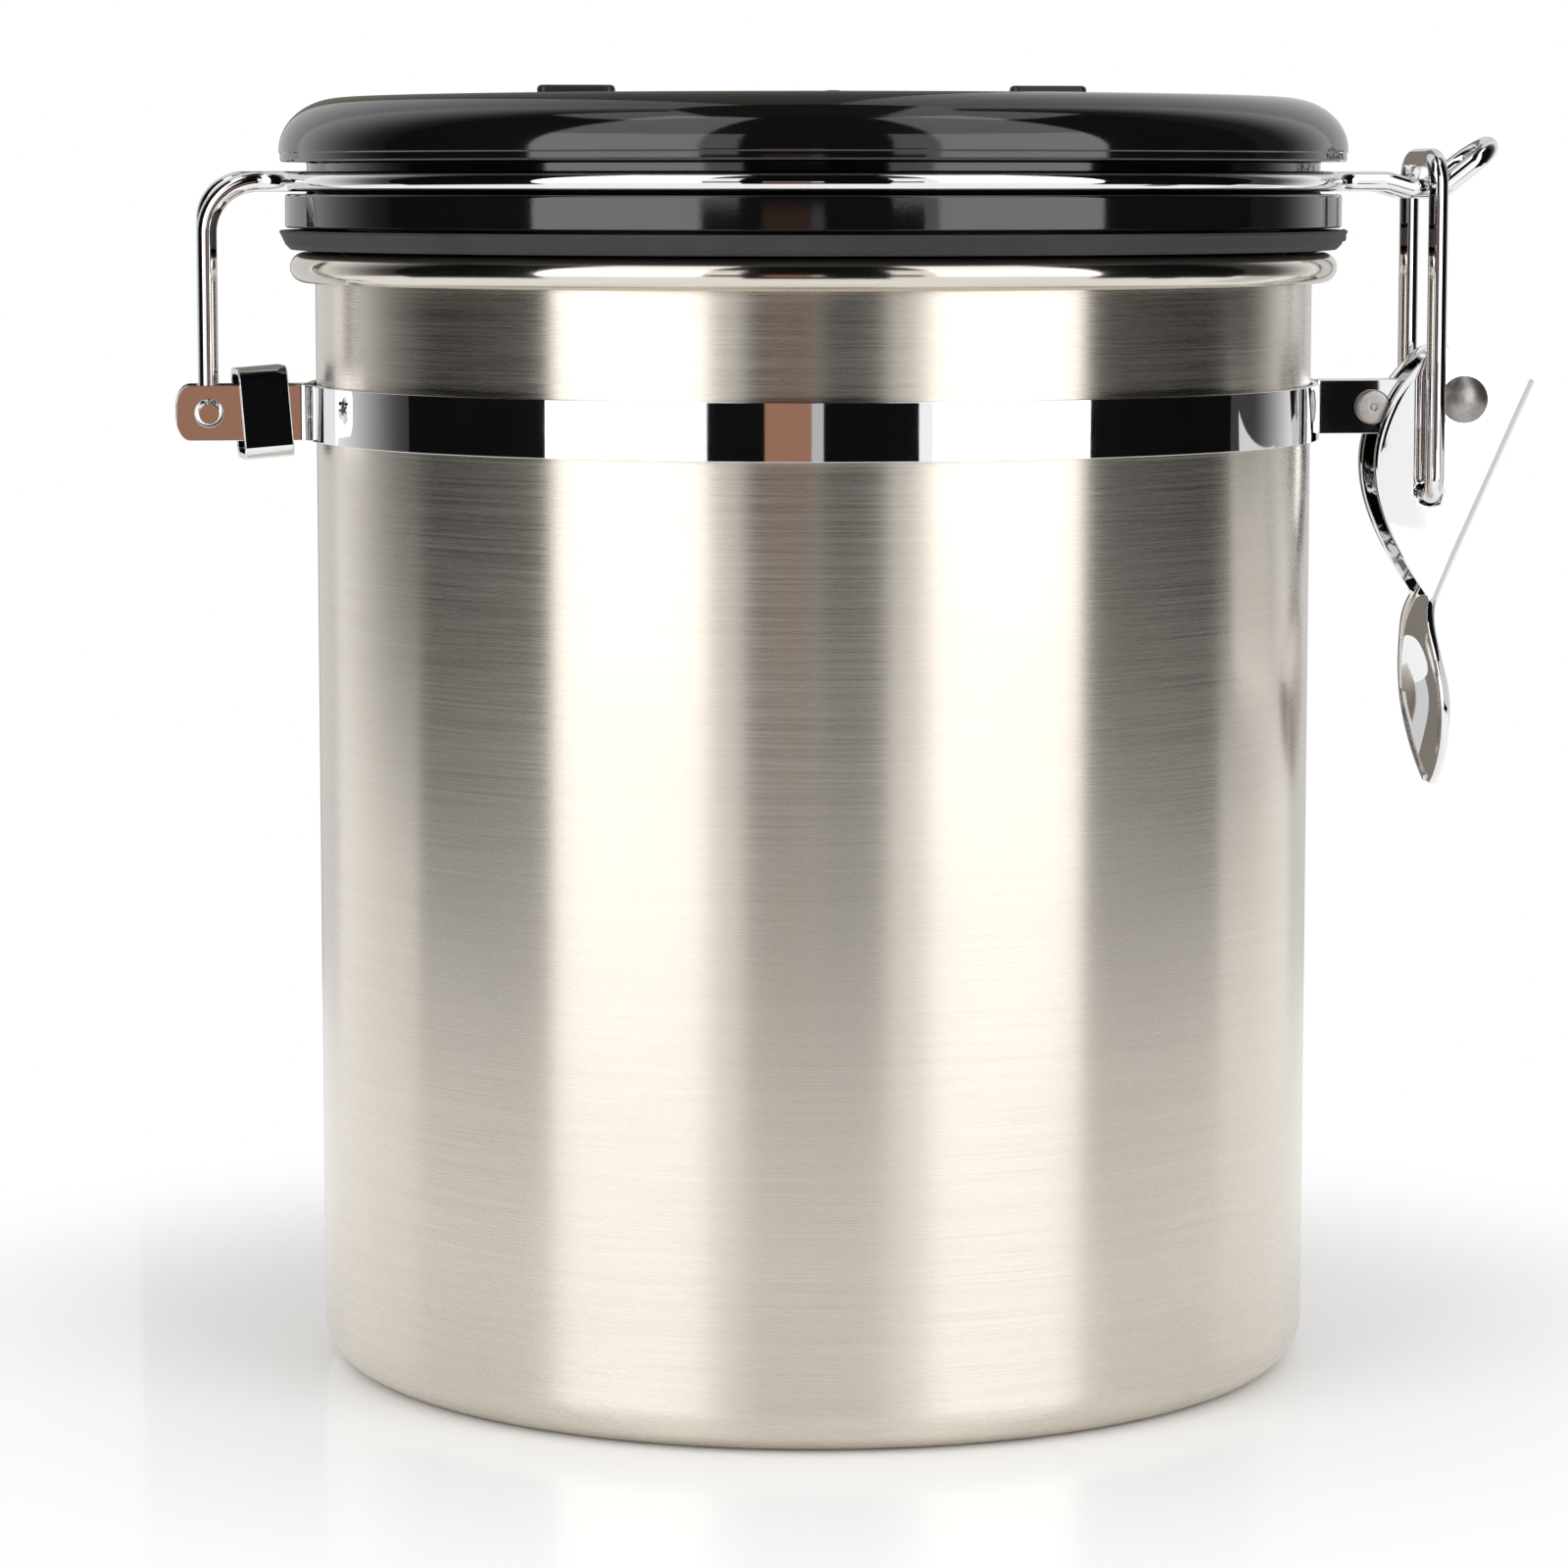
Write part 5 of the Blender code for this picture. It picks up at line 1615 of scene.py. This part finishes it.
@dataclass
class Lid:
    """Glossy moulding with the gasket and the liner under it."""

    wall: float = 1.8 * MM
    recess: float = 39.2 * MM
    dome_width: float = 7.6 * MM
    dome_drop: float = 6.2 * MM
    dome_steps: int = 28
    lip_line: float = 1.0 * MM
    lip_step: float = 0.14 * MM
    groove: float = 60.9 * MM
    collar: float = 63.5 * MM
    edge: float = 0.35 * MM
    gasket_radius: float = 64.1 * MM
    gasket_taper: float = 0.6 * MM
    gasket_lip: float = 0.1 * MM
    nib_neck: float = 1.1 * MM
    nib_neck_radius: float = 0.3 * MM
    nib_head_radius: float = 0.75 * MM
    nib_head_thick: float = 0.4 * MM
    nib_round: float = 0.08 * MM
    liner_wall: float = 1.6 * MM
    liner_lip: float = 57.2 * MM
    liner_neck: float = 56.2 * MM
    liner_base: float = 53.4 * MM
    seat_hole: float = 1.1 * MM
    seat_holes: int = 6
    seat_turn: float = math.radians(18.0)
    seat_circle: float = 4.2 * MM
    stem_hole: float = 1.2 * MM

    def cap(self) -> None:
        """Turn the moulding: dial recess, domed edge with its lip line, wire groove and collar."""
        top, radius, edge = FIT.lid_top, FIT.lid_radius, self.edge
        dome_low = top - self.dome_drop
        inner = radius - self.dome_width
        corners = [
            (FIT.chimney, FIT.dial_floor, 0.0),
            (self.recess, FIT.dial_floor, EASED),
            (self.recess, top, edge),
        ]
        for i in range(self.dome_steps + 1):
            angle = math.pi / 2 * (1.0 - i / self.dome_steps)
            spot = (inner + self.dome_width * math.cos(angle), dome_low + self.dome_drop * math.sin(angle))
            corners.append((*spot, 0.0))
        base = FIT.flange_base
        wall = self.groove - self.wall
        inside = self.collar - self.wall
        under = FIT.collar_top - self.wall
        corners += [
            (radius, base + self.lip_line + self.lip_step, CRISP),
            (radius - self.lip_step, base + self.lip_line, CRISP),
            (radius - self.lip_step, base, edge),
            (self.groove, base, SOFT),
            (self.groove, FIT.collar_top, SOFT),
            (self.collar, FIT.collar_top, edge),
            (self.collar, FIT.collar_base, SOFT),
            (inside, FIT.collar_base, EASED),
            (inside, under, 0.4 * MM),
            (wall, under, SOFT),
            (wall, FIT.plate_base, 0.8 * MM),
            (FIT.chimney, FIT.plate_base, 0.15 * MM),
        ]
        cap = turned("lid_moulding", corners, 288, fineness=5)
        finish_piece(cap, GLOSS, Body.LID, Slot.LID, "lid_cap")

    def gasket(self) -> None:
        """Turn the gasket with its undercut edge, and join the pull nib to it."""
        inner, radius, taper = self.liner_neck + FIT.gap, self.gasket_radius, self.gasket_taper
        base, top = FIT.gasket_base, FIT.gasket_top
        corners = [
            (inner, base, EASED),
            (radius - 2 * taper, base, 0.25 * MM),
            (radius - taper, base + taper, SOFT),
            (radius - self.gasket_lip, top - taper, CRISP),
            (radius + self.gasket_lip, top - taper / 2, CRISP),
            (radius + self.gasket_lip, top, CRISP),
            (inner, top, EASED),
        ]
        ring = turned("gasket_ring", corners, 256)
        middle = top - self.nib_head_radius
        deselect()
        bpy.ops.mesh.primitive_cylinder_add(
            vertices=32,
            radius=self.nib_neck_radius,
            depth=MM,
            location=(radius - MM / 2, 0.0, middle),
            rotation=(0.0, math.pi / 2, 0.0),
        )
        nib = bpy.context.object
        settle(nib)
        pick(nib, "FACE", lambda face: face.normal.x > 0.9)
        widen = self.nib_head_radius / self.nib_neck_radius
        steps = ((self.nib_neck, 1.0), (0.0, widen), (self.nib_head_thick, 1.0))
        grow(steps, (1.0, 0.0, 0.0), (radius, 0.0, middle))
        soften(nib, self.nib_round, 2, SHEET_SHARP)
        boolean(ring, nib, "UNION")
        smooth(ring, TURNED_SHARP)
        finish_piece(ring, GASKET, Body.LID, Slot.GASKET, "lid_gasket")

    def liner(self) -> None:
        """Turn the liner and drill the holes of the valve's seat."""
        wall = self.liner_wall
        plate, floor, base = FIT.plate_base - FIT.gap, FIT.liner_base + wall, FIT.liner_base
        lip = FIT.gasket_base - FIT.gap
        inside = self.liner_neck - wall
        corners = [
            (self.stem_hole, base, EASED),
            (self.liner_base, base, 0.9 * MM),
            (self.liner_lip, lip, 0.6 * MM),
            (self.liner_neck, lip, EASED),
            (self.liner_neck, plate, SOFT),
            (inside, plate, SOFT),
            (inside, lip, 0.5 * MM),
            (self.liner_base - wall, floor, 0.8 * MM),
            (FIT.chimney + wall, floor, 0.6 * MM),
            (FIT.chimney + wall, plate, SOFT),
            (FIT.chimney, plate, SOFT),
            (FIT.chimney, floor, SOFT),
            (self.stem_hole, floor, CRISP),
        ]
        liner = turned("liner_pan", corners, 160)
        for i in range(self.seat_holes):
            angle = FULL_TURN * i / self.seat_holes + self.seat_turn
            x, y = self.seat_circle * math.cos(angle), self.seat_circle * math.sin(angle)
            drill(liner, self.seat_hole, Vector((x, y, base - MM)), Vector((x, y, floor + MM)))
        smooth(liner, TURNED_SHARP)
        finish_piece(liner, LINER, Body.LID, Slot.LINER, "lid_liner")

    def build(self) -> None:
        """Make the cap, gasket and liner."""
        self.cap()
        self.gasket()
        self.liner()


# Vent valve


@dataclass
class VentValve:
    """Flap, filter, slotted cover and the slotted cap on top of the lid."""

    flap_radius: float = 6.6 * MM
    flap_thick: float = 0.8 * MM
    stem: float = 0.9 * MM
    filter_thick: float = 1.2 * MM
    cover_radius: float = 11.4 * MM
    cover_wall: float = 1.0 * MM
    cover_slots: int = 8
    cover_circle: float = 5.6 * MM
    cover_slot: Point2 = (5.0 * MM, 1.2 * MM)
    cap_radius: float = 11.7 * MM
    cap_skirt: float = 1.2 * MM
    cap_slots: int = 6
    cap_circle: float = 4.4 * MM
    cap_slot: Point2 = (3.4 * MM, 1.3 * MM)
    cap_groove: float = 9.6 * MM
    cap_groove_depth: float = 0.25 * MM
    edge: float = 0.25 * MM

    def flap(self) -> None:
        """Turn the mushroom flap."""
        seat = FIT.liner_base + 1.6 * MM + FIT.gap
        end = FIT.liner_base + FIT.gap
        corners = [
            (0.0, end, 0.0),
            (self.stem, end, EASED),
            (self.stem, seat, 0.15 * MM),
            (self.flap_radius, seat, CRISP),
            (self.flap_radius, seat + self.flap_thick / 2, 0.15 * MM),
            (self.stem, seat + self.flap_thick, 0.5 * MM),
            (0.0, seat + self.flap_thick, 0.0),
        ]
        piece = turned("flap_disc", corners, 96, SHEET_SHARP)
        finish_piece(piece, SILICONE, Body.FLAP, Slot.SILICONE, "valve_flap")

    def filter(self) -> None:
        """Cut the paper disc."""
        top = FIT.liner_base - FIT.gap
        base = top - self.filter_thick
        radius = self.cover_radius - self.cover_wall - FIT.gap
        corners = [(0.0, base, 0.0), (radius, base, self.edge), (radius, top, self.edge), (0.0, top, 0.0)]
        piece = turned("filter_disc", corners, 96, SHEET_SHARP)
        finish_piece(piece, PAPER, Body.LID, Slot.FILTER, "valve_filter")

    def slots(
        self, piece: bpy.types.Object, count: int, circle: float, size: Point2, low: float, high: float
    ) -> None:
        """Cut radial slots.

        Args:
            piece: What is cut.
            count: How many.
            circle: Radius of their middles.
            size: Their length and width.
            low: Where the cut starts.
            high: Where it ends.
        """
        for i in range(count):
            slot = bar(*size, low, high, circle, 360.0 * (i + 0.5) / count)
            boolean(piece, slot, "DIFFERENCE")

    def cover(self) -> None:
        """Turn the cover and slot its floor."""
        top = FIT.liner_base - FIT.gap
        floor = top - self.filter_thick - FIT.gap
        inner = self.cover_radius - self.cover_wall
        corners = [
            (0.0, floor - self.cover_wall, 0.0),
            (self.cover_radius, floor - self.cover_wall, 0.6 * MM),
            (self.cover_radius, top, EASED),
            (inner, top, EASED),
            (inner, floor, SOFT),
            (0.0, floor, 0.0),
        ]
        piece = turned("cover_cup", corners, 96)
        low, high = floor - self.cover_wall - MM, floor + FIT.gap
        self.slots(piece, self.cover_slots, self.cover_circle, self.cover_slot, low, high)
        smooth(piece, TURNED_SHARP)
        finish_piece(piece, LINER, Body.LID, Slot.LINER, "valve_cover")

    def cap(self) -> None:
        """Turn the cap with a ring groove in its top, and slot it."""
        base, top = FIT.dial_lip + FIT.gap, FIT.lid_top
        skirt = FIT.chimney - FIT.gap
        inner = skirt - self.cap_skirt
        depth = self.cap_groove_depth
        corners = [
            (0.0, base, 0.0),
            (inner, base, 0.0),
            (inner, FIT.plate_base, EASED),
            (skirt, FIT.plate_base, EASED),
            (skirt, base, CRISP),
            (self.cap_radius, base, 0.15 * MM),
            (self.cap_radius, top, SOFT),
            (self.cap_groove + depth, top, CRISP),
            (self.cap_groove, top - depth, 0.05 * MM),
            (self.cap_groove - depth, top, CRISP),
            (0.0, top, 0.0),
        ]
        piece = turned("vent_button", corners, 128)
        self.slots(piece, self.cap_slots, self.cap_circle, self.cap_slot, base - FIT.gap, top + MM)
        smooth(piece, TURNED_SHARP)
        finish_piece(piece, GLOSS, Body.LID, Slot.LID, "vent_cap")

    def build(self) -> None:
        """Make every piece of the valve."""
        self.flap()
        self.filter()
        self.cover()
        self.cap()


# Date dial


@dataclass
class DateDial:
    """Two rings that turn in the lid's recess, with plain numbers, and the bezel round them."""

    lip: float = 1.4 * MM
    sink: float = 0.2 * MM
    month_radius: float = 21.7 * MM
    month_step: float = 12.0 * MM
    day_radius: float = 35.3 * MM
    recess: float = 39.2 * MM
    rib_width: float = 2.2 * MM
    day_rib: Point2 = (9.4 * MM, 1.8 * MM)
    month_rib: Point2 = (6.0 * MM, 0.9 * MM)
    rib_round: float = 0.5 * MM
    number_thick: float = 0.05 * MM
    day_number: float = 3.3 * MM
    day_circle: float = 32.2 * MM
    month_number: float = 3.2 * MM
    month_circle: float = 18.6 * MM

    def ribs(self, dial: bpy.types.Object, circle: float, size: Point2, angles: Sequence[float]) -> None:
        """Raise finger ribs on a dial.

        Args:
            dial: The dial.
            circle: Radius of the ribs' middles.
            size: Their length and height.
            angles: Their directions in degrees.
        """
        top = FIT.lid_top - self.sink
        for angle in angles:
            rib = bar(size[0], self.rib_width, top - self.rib_round, top + size[1], circle, angle)
            bevel_edges(rib, lambda a, b: min(a.z, b.z) > top + size[1] - MERGE, self.rib_round, 4)
            boolean(dial, rib, "UNION")

    def numbers(self, name: str, size: float, circle: float, places: Sequence[float], body: Body) -> None:
        """Print numbers from 1 up round a dial.

        Args:
            name: The piece's name.
            size: Their size.
            circle: Radius of their middles.
            places: Direction of each in degrees.
            body: The moving group that they ride on.
        """
        made = []
        for number, place in enumerate(places, 1):
            deselect()
            bpy.ops.object.text_add(location=(0.0, 0.0, 0.0))
            text = bpy.context.object
            text.data.body = str(number)
            text.data.size = size
            text.data.align_x = "CENTER"
            text.data.align_y = "CENTER"
            text.data.extrude = self.number_thick / 2
            text.data.resolution_u = 4
            bpy.ops.object.convert(target="MESH")
            text = bpy.context.object
            turn = math.radians(place)
            text.rotation_euler = (0.0, 0.0, turn - math.pi / 2)
            height = FIT.lid_top - self.sink + self.number_thick / 2
            text.location = (circle * math.cos(turn), circle * math.sin(turn), height)
            settle(text)
            made.append(text)
        deselect()
        for text in made:
            text.select_set(True)
        bpy.context.view_layer.objects.active = made[0]
        bpy.ops.object.join()
        piece = bpy.context.object
        piece.name = name
        finish_piece(piece, INK, body, Slot.DIAL)

    def month(self) -> None:
        """Turn the inner ring."""
        shoulder, lip_top = self.month_radius - self.lip, FIT.dial_lip
        base, top = FIT.dial_floor + FIT.gap, FIT.lid_top - self.sink
        corners = [
            (FIT.chimney, base, CRISP),
            (shoulder, base, CRISP),
            (shoulder, lip_top + FIT.gap, CRISP),
            (self.month_radius, lip_top + FIT.gap, CRISP),
            (self.month_radius, top, EASED),
            (self.month_step, top, EASED),
            (self.month_step, lip_top, CRISP),
            (FIT.chimney, lip_top, CRISP),
        ]
        dial = turned("month_disc", corners, 144)
        self.ribs(dial, (self.month_step + self.month_radius) / 2, self.month_rib, (90.0, -90.0))
        smooth(dial, TURNED_SHARP)
        finish_piece(dial, SATIN, Body.MONTH_DIAL, Slot.DIAL, "month_dial")
        places = [75.0 - 30.0 * i for i in range(12)]
        self.numbers("month_numbers", self.month_number, self.month_circle, places, Body.MONTH_DIAL)

    def day(self) -> None:
        """Turn the outer ring."""
        bore, step = self.month_radius - self.lip + FIT.gap, self.month_radius + FIT.gap
        outer, lip_top = self.day_radius + self.lip, FIT.dial_lip
        base, top = FIT.dial_floor + FIT.gap, FIT.lid_top - self.sink
        corners = [
            (bore, base, CRISP),
            (outer, base, CRISP),
            (outer, lip_top, CRISP),
            (self.day_radius, lip_top, CRISP),
            (self.day_radius, top, EASED),
            (step, top, EASED),
            (step, lip_top, CRISP),
            (bore, lip_top, CRISP),
        ]
        dial = turned("day_disc", corners, 192)
        self.ribs(dial, (step + self.day_radius) / 2, self.day_rib, (0.0, 180.0))
        smooth(dial, TURNED_SHARP)
        finish_piece(dial, SATIN, Body.DAY_RING, Slot.DIAL, "day_ring")
        places = [170.0 - 160.0 * i / 15 for i in range(16)] + [-10.0 - 160.0 * i / 14 for i in range(15)]
        self.numbers("day_numbers", self.day_number, self.day_circle, places, Body.DAY_RING)

    def bezel(self) -> None:
        """Turn the trim ring."""
        outer, seat = self.recess - FIT.gap, self.day_radius + self.lip + FIT.gap
        inner, lip = self.day_radius + FIT.gap, FIT.dial_lip + FIT.gap
        base, top = FIT.dial_floor + FIT.gap, FIT.lid_top
        corners = [
            (seat, base, CRISP),
            (outer, base, CRISP),
            (outer, top, EASED),
            (inner, top, 0.45 * MM),
            (inner, lip, CRISP),
            (seat, lip, CRISP),
        ]
        ring = turned("bezel_ring", corners, 192)
        finish_piece(ring, GLOSS, Body.LID, Slot.LID, "dial_bezel")

    def build(self) -> None:
        """Make both rings and the bezel."""
        self.month()
        self.day()
        self.bezel()


# Latch


@dataclass
class Latch:
    """Stamped lever pressed from one blank, and the wire bail that it pulls."""

    sheet: float = 0.8 * MM
    half_width: float = 4.5 * MM
    bend: float = 1.1 * MM
    lean: float = math.radians(24.1)
    start: Point2 = (88.7 * MM, 118.3 * MM)
    web_length: float = 29.6 * MM
    cheek_depth: float = 15.5 * MM
    cheek_peak: float = 10.6 * MM
    cheek_rise: float = 23.9 * MM
    cheek_fall: float = 19.4 * MM
    cheek_power: float = 2.35
    cheek_corner: float = 2.0 * MM
    neck_share: float = 0.25
    tab_length: float = 23.3 * MM
    tab_lean: float = math.radians(-5.3)
    tab_root: float = 5.0 * MM
    tab_half_width: float = 11.0 * MM
    tab_widest: float = 0.52
    tab_power: float = 1.8
    tab_rounding: float = 0.8
    tab_settle: float = 0.25
    tab_end: float = 0.975
    tab_rim: float = 0.12 * MM
    dish: float = 2.0 * MM
    pin_hole: float = 1.8 * MM
    bail_hole: float = 1.65 * MM
    columns: int = 60
    rows: int = 150
    web_columns: float = 0.3
    bend_columns: float = 0.5
    web_rows: float = 0.5
    crowding: float = 1.5
    sharp: float = 45.0
    end_sharp: float = 60.0
    bail_half_width: float = 7.4 * MM
    bail_stub: float = 3.2 * MM
    bail_top: float = 145.5 * MM
    bail_corner: float = 3.4 * MM
    bail_foot: float = 2.0 * MM

    def depth(self, s: float) -> float:
        """How far a cheek reaches from the web.

        Args:
            s: Distance down the web.

        Returns:
            The depth.
        """
        if s < self.cheek_peak:
            depth = self.cheek_depth * (1.0 - ((self.cheek_peak - s) / self.cheek_rise) ** 2)
        else:
            fall = min(1.0, (s - self.cheek_peak) / self.cheek_fall)
            depth = self.cheek_depth * (1.0 - fall**self.cheek_power)
        if s < self.cheek_corner:
            depth -= self.cheek_corner - math.sqrt(self.cheek_corner**2 - (self.cheek_corner - s) ** 2)
        return max(depth, self.bend + self.tab_rim)

    def tab_width(self, share: float) -> float:
        """Half the tab's width.

        Args:
            share: Where along the tab, from 0 to 1.

        Returns:
            The half width there.
        """
        if share < self.tab_widest:
            widen = math.sin(math.pi / 2 * share / self.tab_widest)
            return self.tab_root + (self.tab_half_width - self.tab_root) * widen
        past = (share - self.tab_widest) / (1.0 - self.tab_widest)
        return self.tab_half_width * (1.0 - past**self.tab_power) ** self.tab_rounding

    def stations(self) -> list[tuple[Vector, Vector, float, float, float, float]]:
        """Where each row of the blank goes.

        Returns:
            Place, direction towards the can, half width, depth, bend and dish of each row.
        """
        down = Vector((-math.sin(self.lean), -math.cos(self.lean)))
        inward = Vector((-math.cos(self.lean), math.sin(self.lean)))
        start = Vector(self.start)
        web_rows = round(self.rows * self.web_rows)
        made = []
        for i in range(web_rows):
            share = (i / web_rows) ** self.crowding
            widen = max(0.0, share - 1.0 + self.neck_share) / self.neck_share
            half = self.half_width + (self.tab_root - self.half_width) * widen**2
            s = share * self.web_length
            made.append((start + down * s, inward, half, self.depth(s), self.bend, 0.0))
        place = start + down * self.web_length
        tab_rows = self.rows - web_rows
        rim_bend = self.sheet + self.tab_rim
        before = 0.0
        for i in range(tab_rows + 1):
            share = self.tab_end * (1.0 - (1.0 - i / tab_rows) ** self.crowding)
            settle = min(1.0, share / self.tab_settle)
            heading = self.lean + (self.tab_lean - self.lean) * math.sin(math.pi / 2 * settle)
            along = Vector((-math.sin(heading), -math.cos(heading)))
            place = place + along * (share - before) * self.tab_length
            before = share
            inward = Vector((-math.cos(heading), math.sin(heading)))
            ease = settle * settle * (3.0 - 2.0 * settle)
            bend = self.bend + (rim_bend - self.bend) * ease
            dish = self.dish * math.sin(math.pi * share) ** 2
            made.append((place, inward, self.tab_width(share), bend + self.tab_rim, bend, dish))
        return made

    def section(self, u: float, half: float, depth: float, bend: float, dish: float) -> Point2:
        """Where a column of the blank goes in a row's U section.

        Args:
            u: Place across the blank from -1 to 1.
            half: Half the section's width.
            depth: How far its sides reach.
            bend: Radius of its corners.
            dish: How far its middle is pressed out.

        Returns:
            Distance across, and towards the can.
        """
        share, sign = abs(u), math.copysign(1.0, u)
        if share <= self.web_columns:
            flat = share / self.web_columns
            return sign * flat * (half - bend), -dish * (1.0 - flat**2)
        if share <= self.bend_columns:
            turn = math.pi / 2 * (share - self.web_columns) / (self.bend_columns - self.web_columns)
            return sign * (half - bend + bend * math.sin(turn)), bend * (1.0 - math.cos(turn))
        up = (share - self.bend_columns) / (1.0 - self.bend_columns)
        return sign * half, bend + (depth - bend) * up

    def lever(self) -> None:
        """Press the blank to shape, give it its thickness, drill it and soften its edges."""
        deselect()
        bpy.ops.mesh.primitive_grid_add(x_subdivisions=self.columns, y_subdivisions=self.rows, size=2.0)
        blank = bpy.context.object
        blank.name = "lever_pressing"
        rows = self.stations()
        for vertex in blank.data.vertices:
            place, inward, half, depth, bend, dish = rows[round((vertex.co.y + 1.0) / 2 * self.rows)]
            across, reach = self.section(vertex.co.x, half, depth, bend, dish)
            spot = place + inward * reach
            vertex.co = (spot.x, across, spot.y)
        blank.data.update()
        level = FIT.bail_height
        middle = min(blank.data.polygons, key=lambda face: abs(face.center.y) + abs(face.center.z - level))
        if middle.normal.x < 0.0:
            blank.data.flip_normals()
        thicken(blank, self.sheet, -1.0)
        side = self.half_width + MM
        for x, z, radius in (
            (FIT.lever_reach, FIT.lever_height, self.pin_hole),
            (FIT.bail_reach, FIT.bail_height, self.bail_hole),
        ):
            drill(blank, radius, Vector((x, -side, z)), Vector((x, side, z)))
        soften(blank, CRISP, 2, self.end_sharp)
        smooth(blank, self.sharp)
        finish_piece(blank, CHROME, Body.LEVER, Slot.CHROME, "latch_lever")

    def bail(self) -> None:
        """Bend the bail."""
        x = FIT.bail_reach
        corners = [
            (x, self.bail_stub, FIT.bail_height),
            (x, self.bail_half_width, FIT.bail_height),
            (x, self.bail_half_width, self.bail_top),
            (x, 0.0, self.bail_top),
        ]
        route = route_through(corners, (self.bail_foot, self.bail_corner))
        piece = bent_wire("bail_bent", route + mirrored(route)[1:], FIT.wire)
        soften(piece, SOFT, 3, self.end_sharp)
        smooth(piece, SHEET_SHARP)
        finish_piece(piece, CHROME, Body.BAIL, Slot.CHROME, "latch_bail")

    def build(self) -> None:
        """Make lever and bail."""
        self.lever()
        self.bail()


def main() -> None:
    """Build the studio and every sub-assembly in order."""
    logging.basicConfig(level=logging.INFO, format="%(message)s")
    deselect()
    for part in (Studio(), Can(), ClampBand(), LidWire(), Lid(), VentValve(), DateDial(), Latch()):
        part.build()
    deselect()


if __name__ == "__main__":
    main()
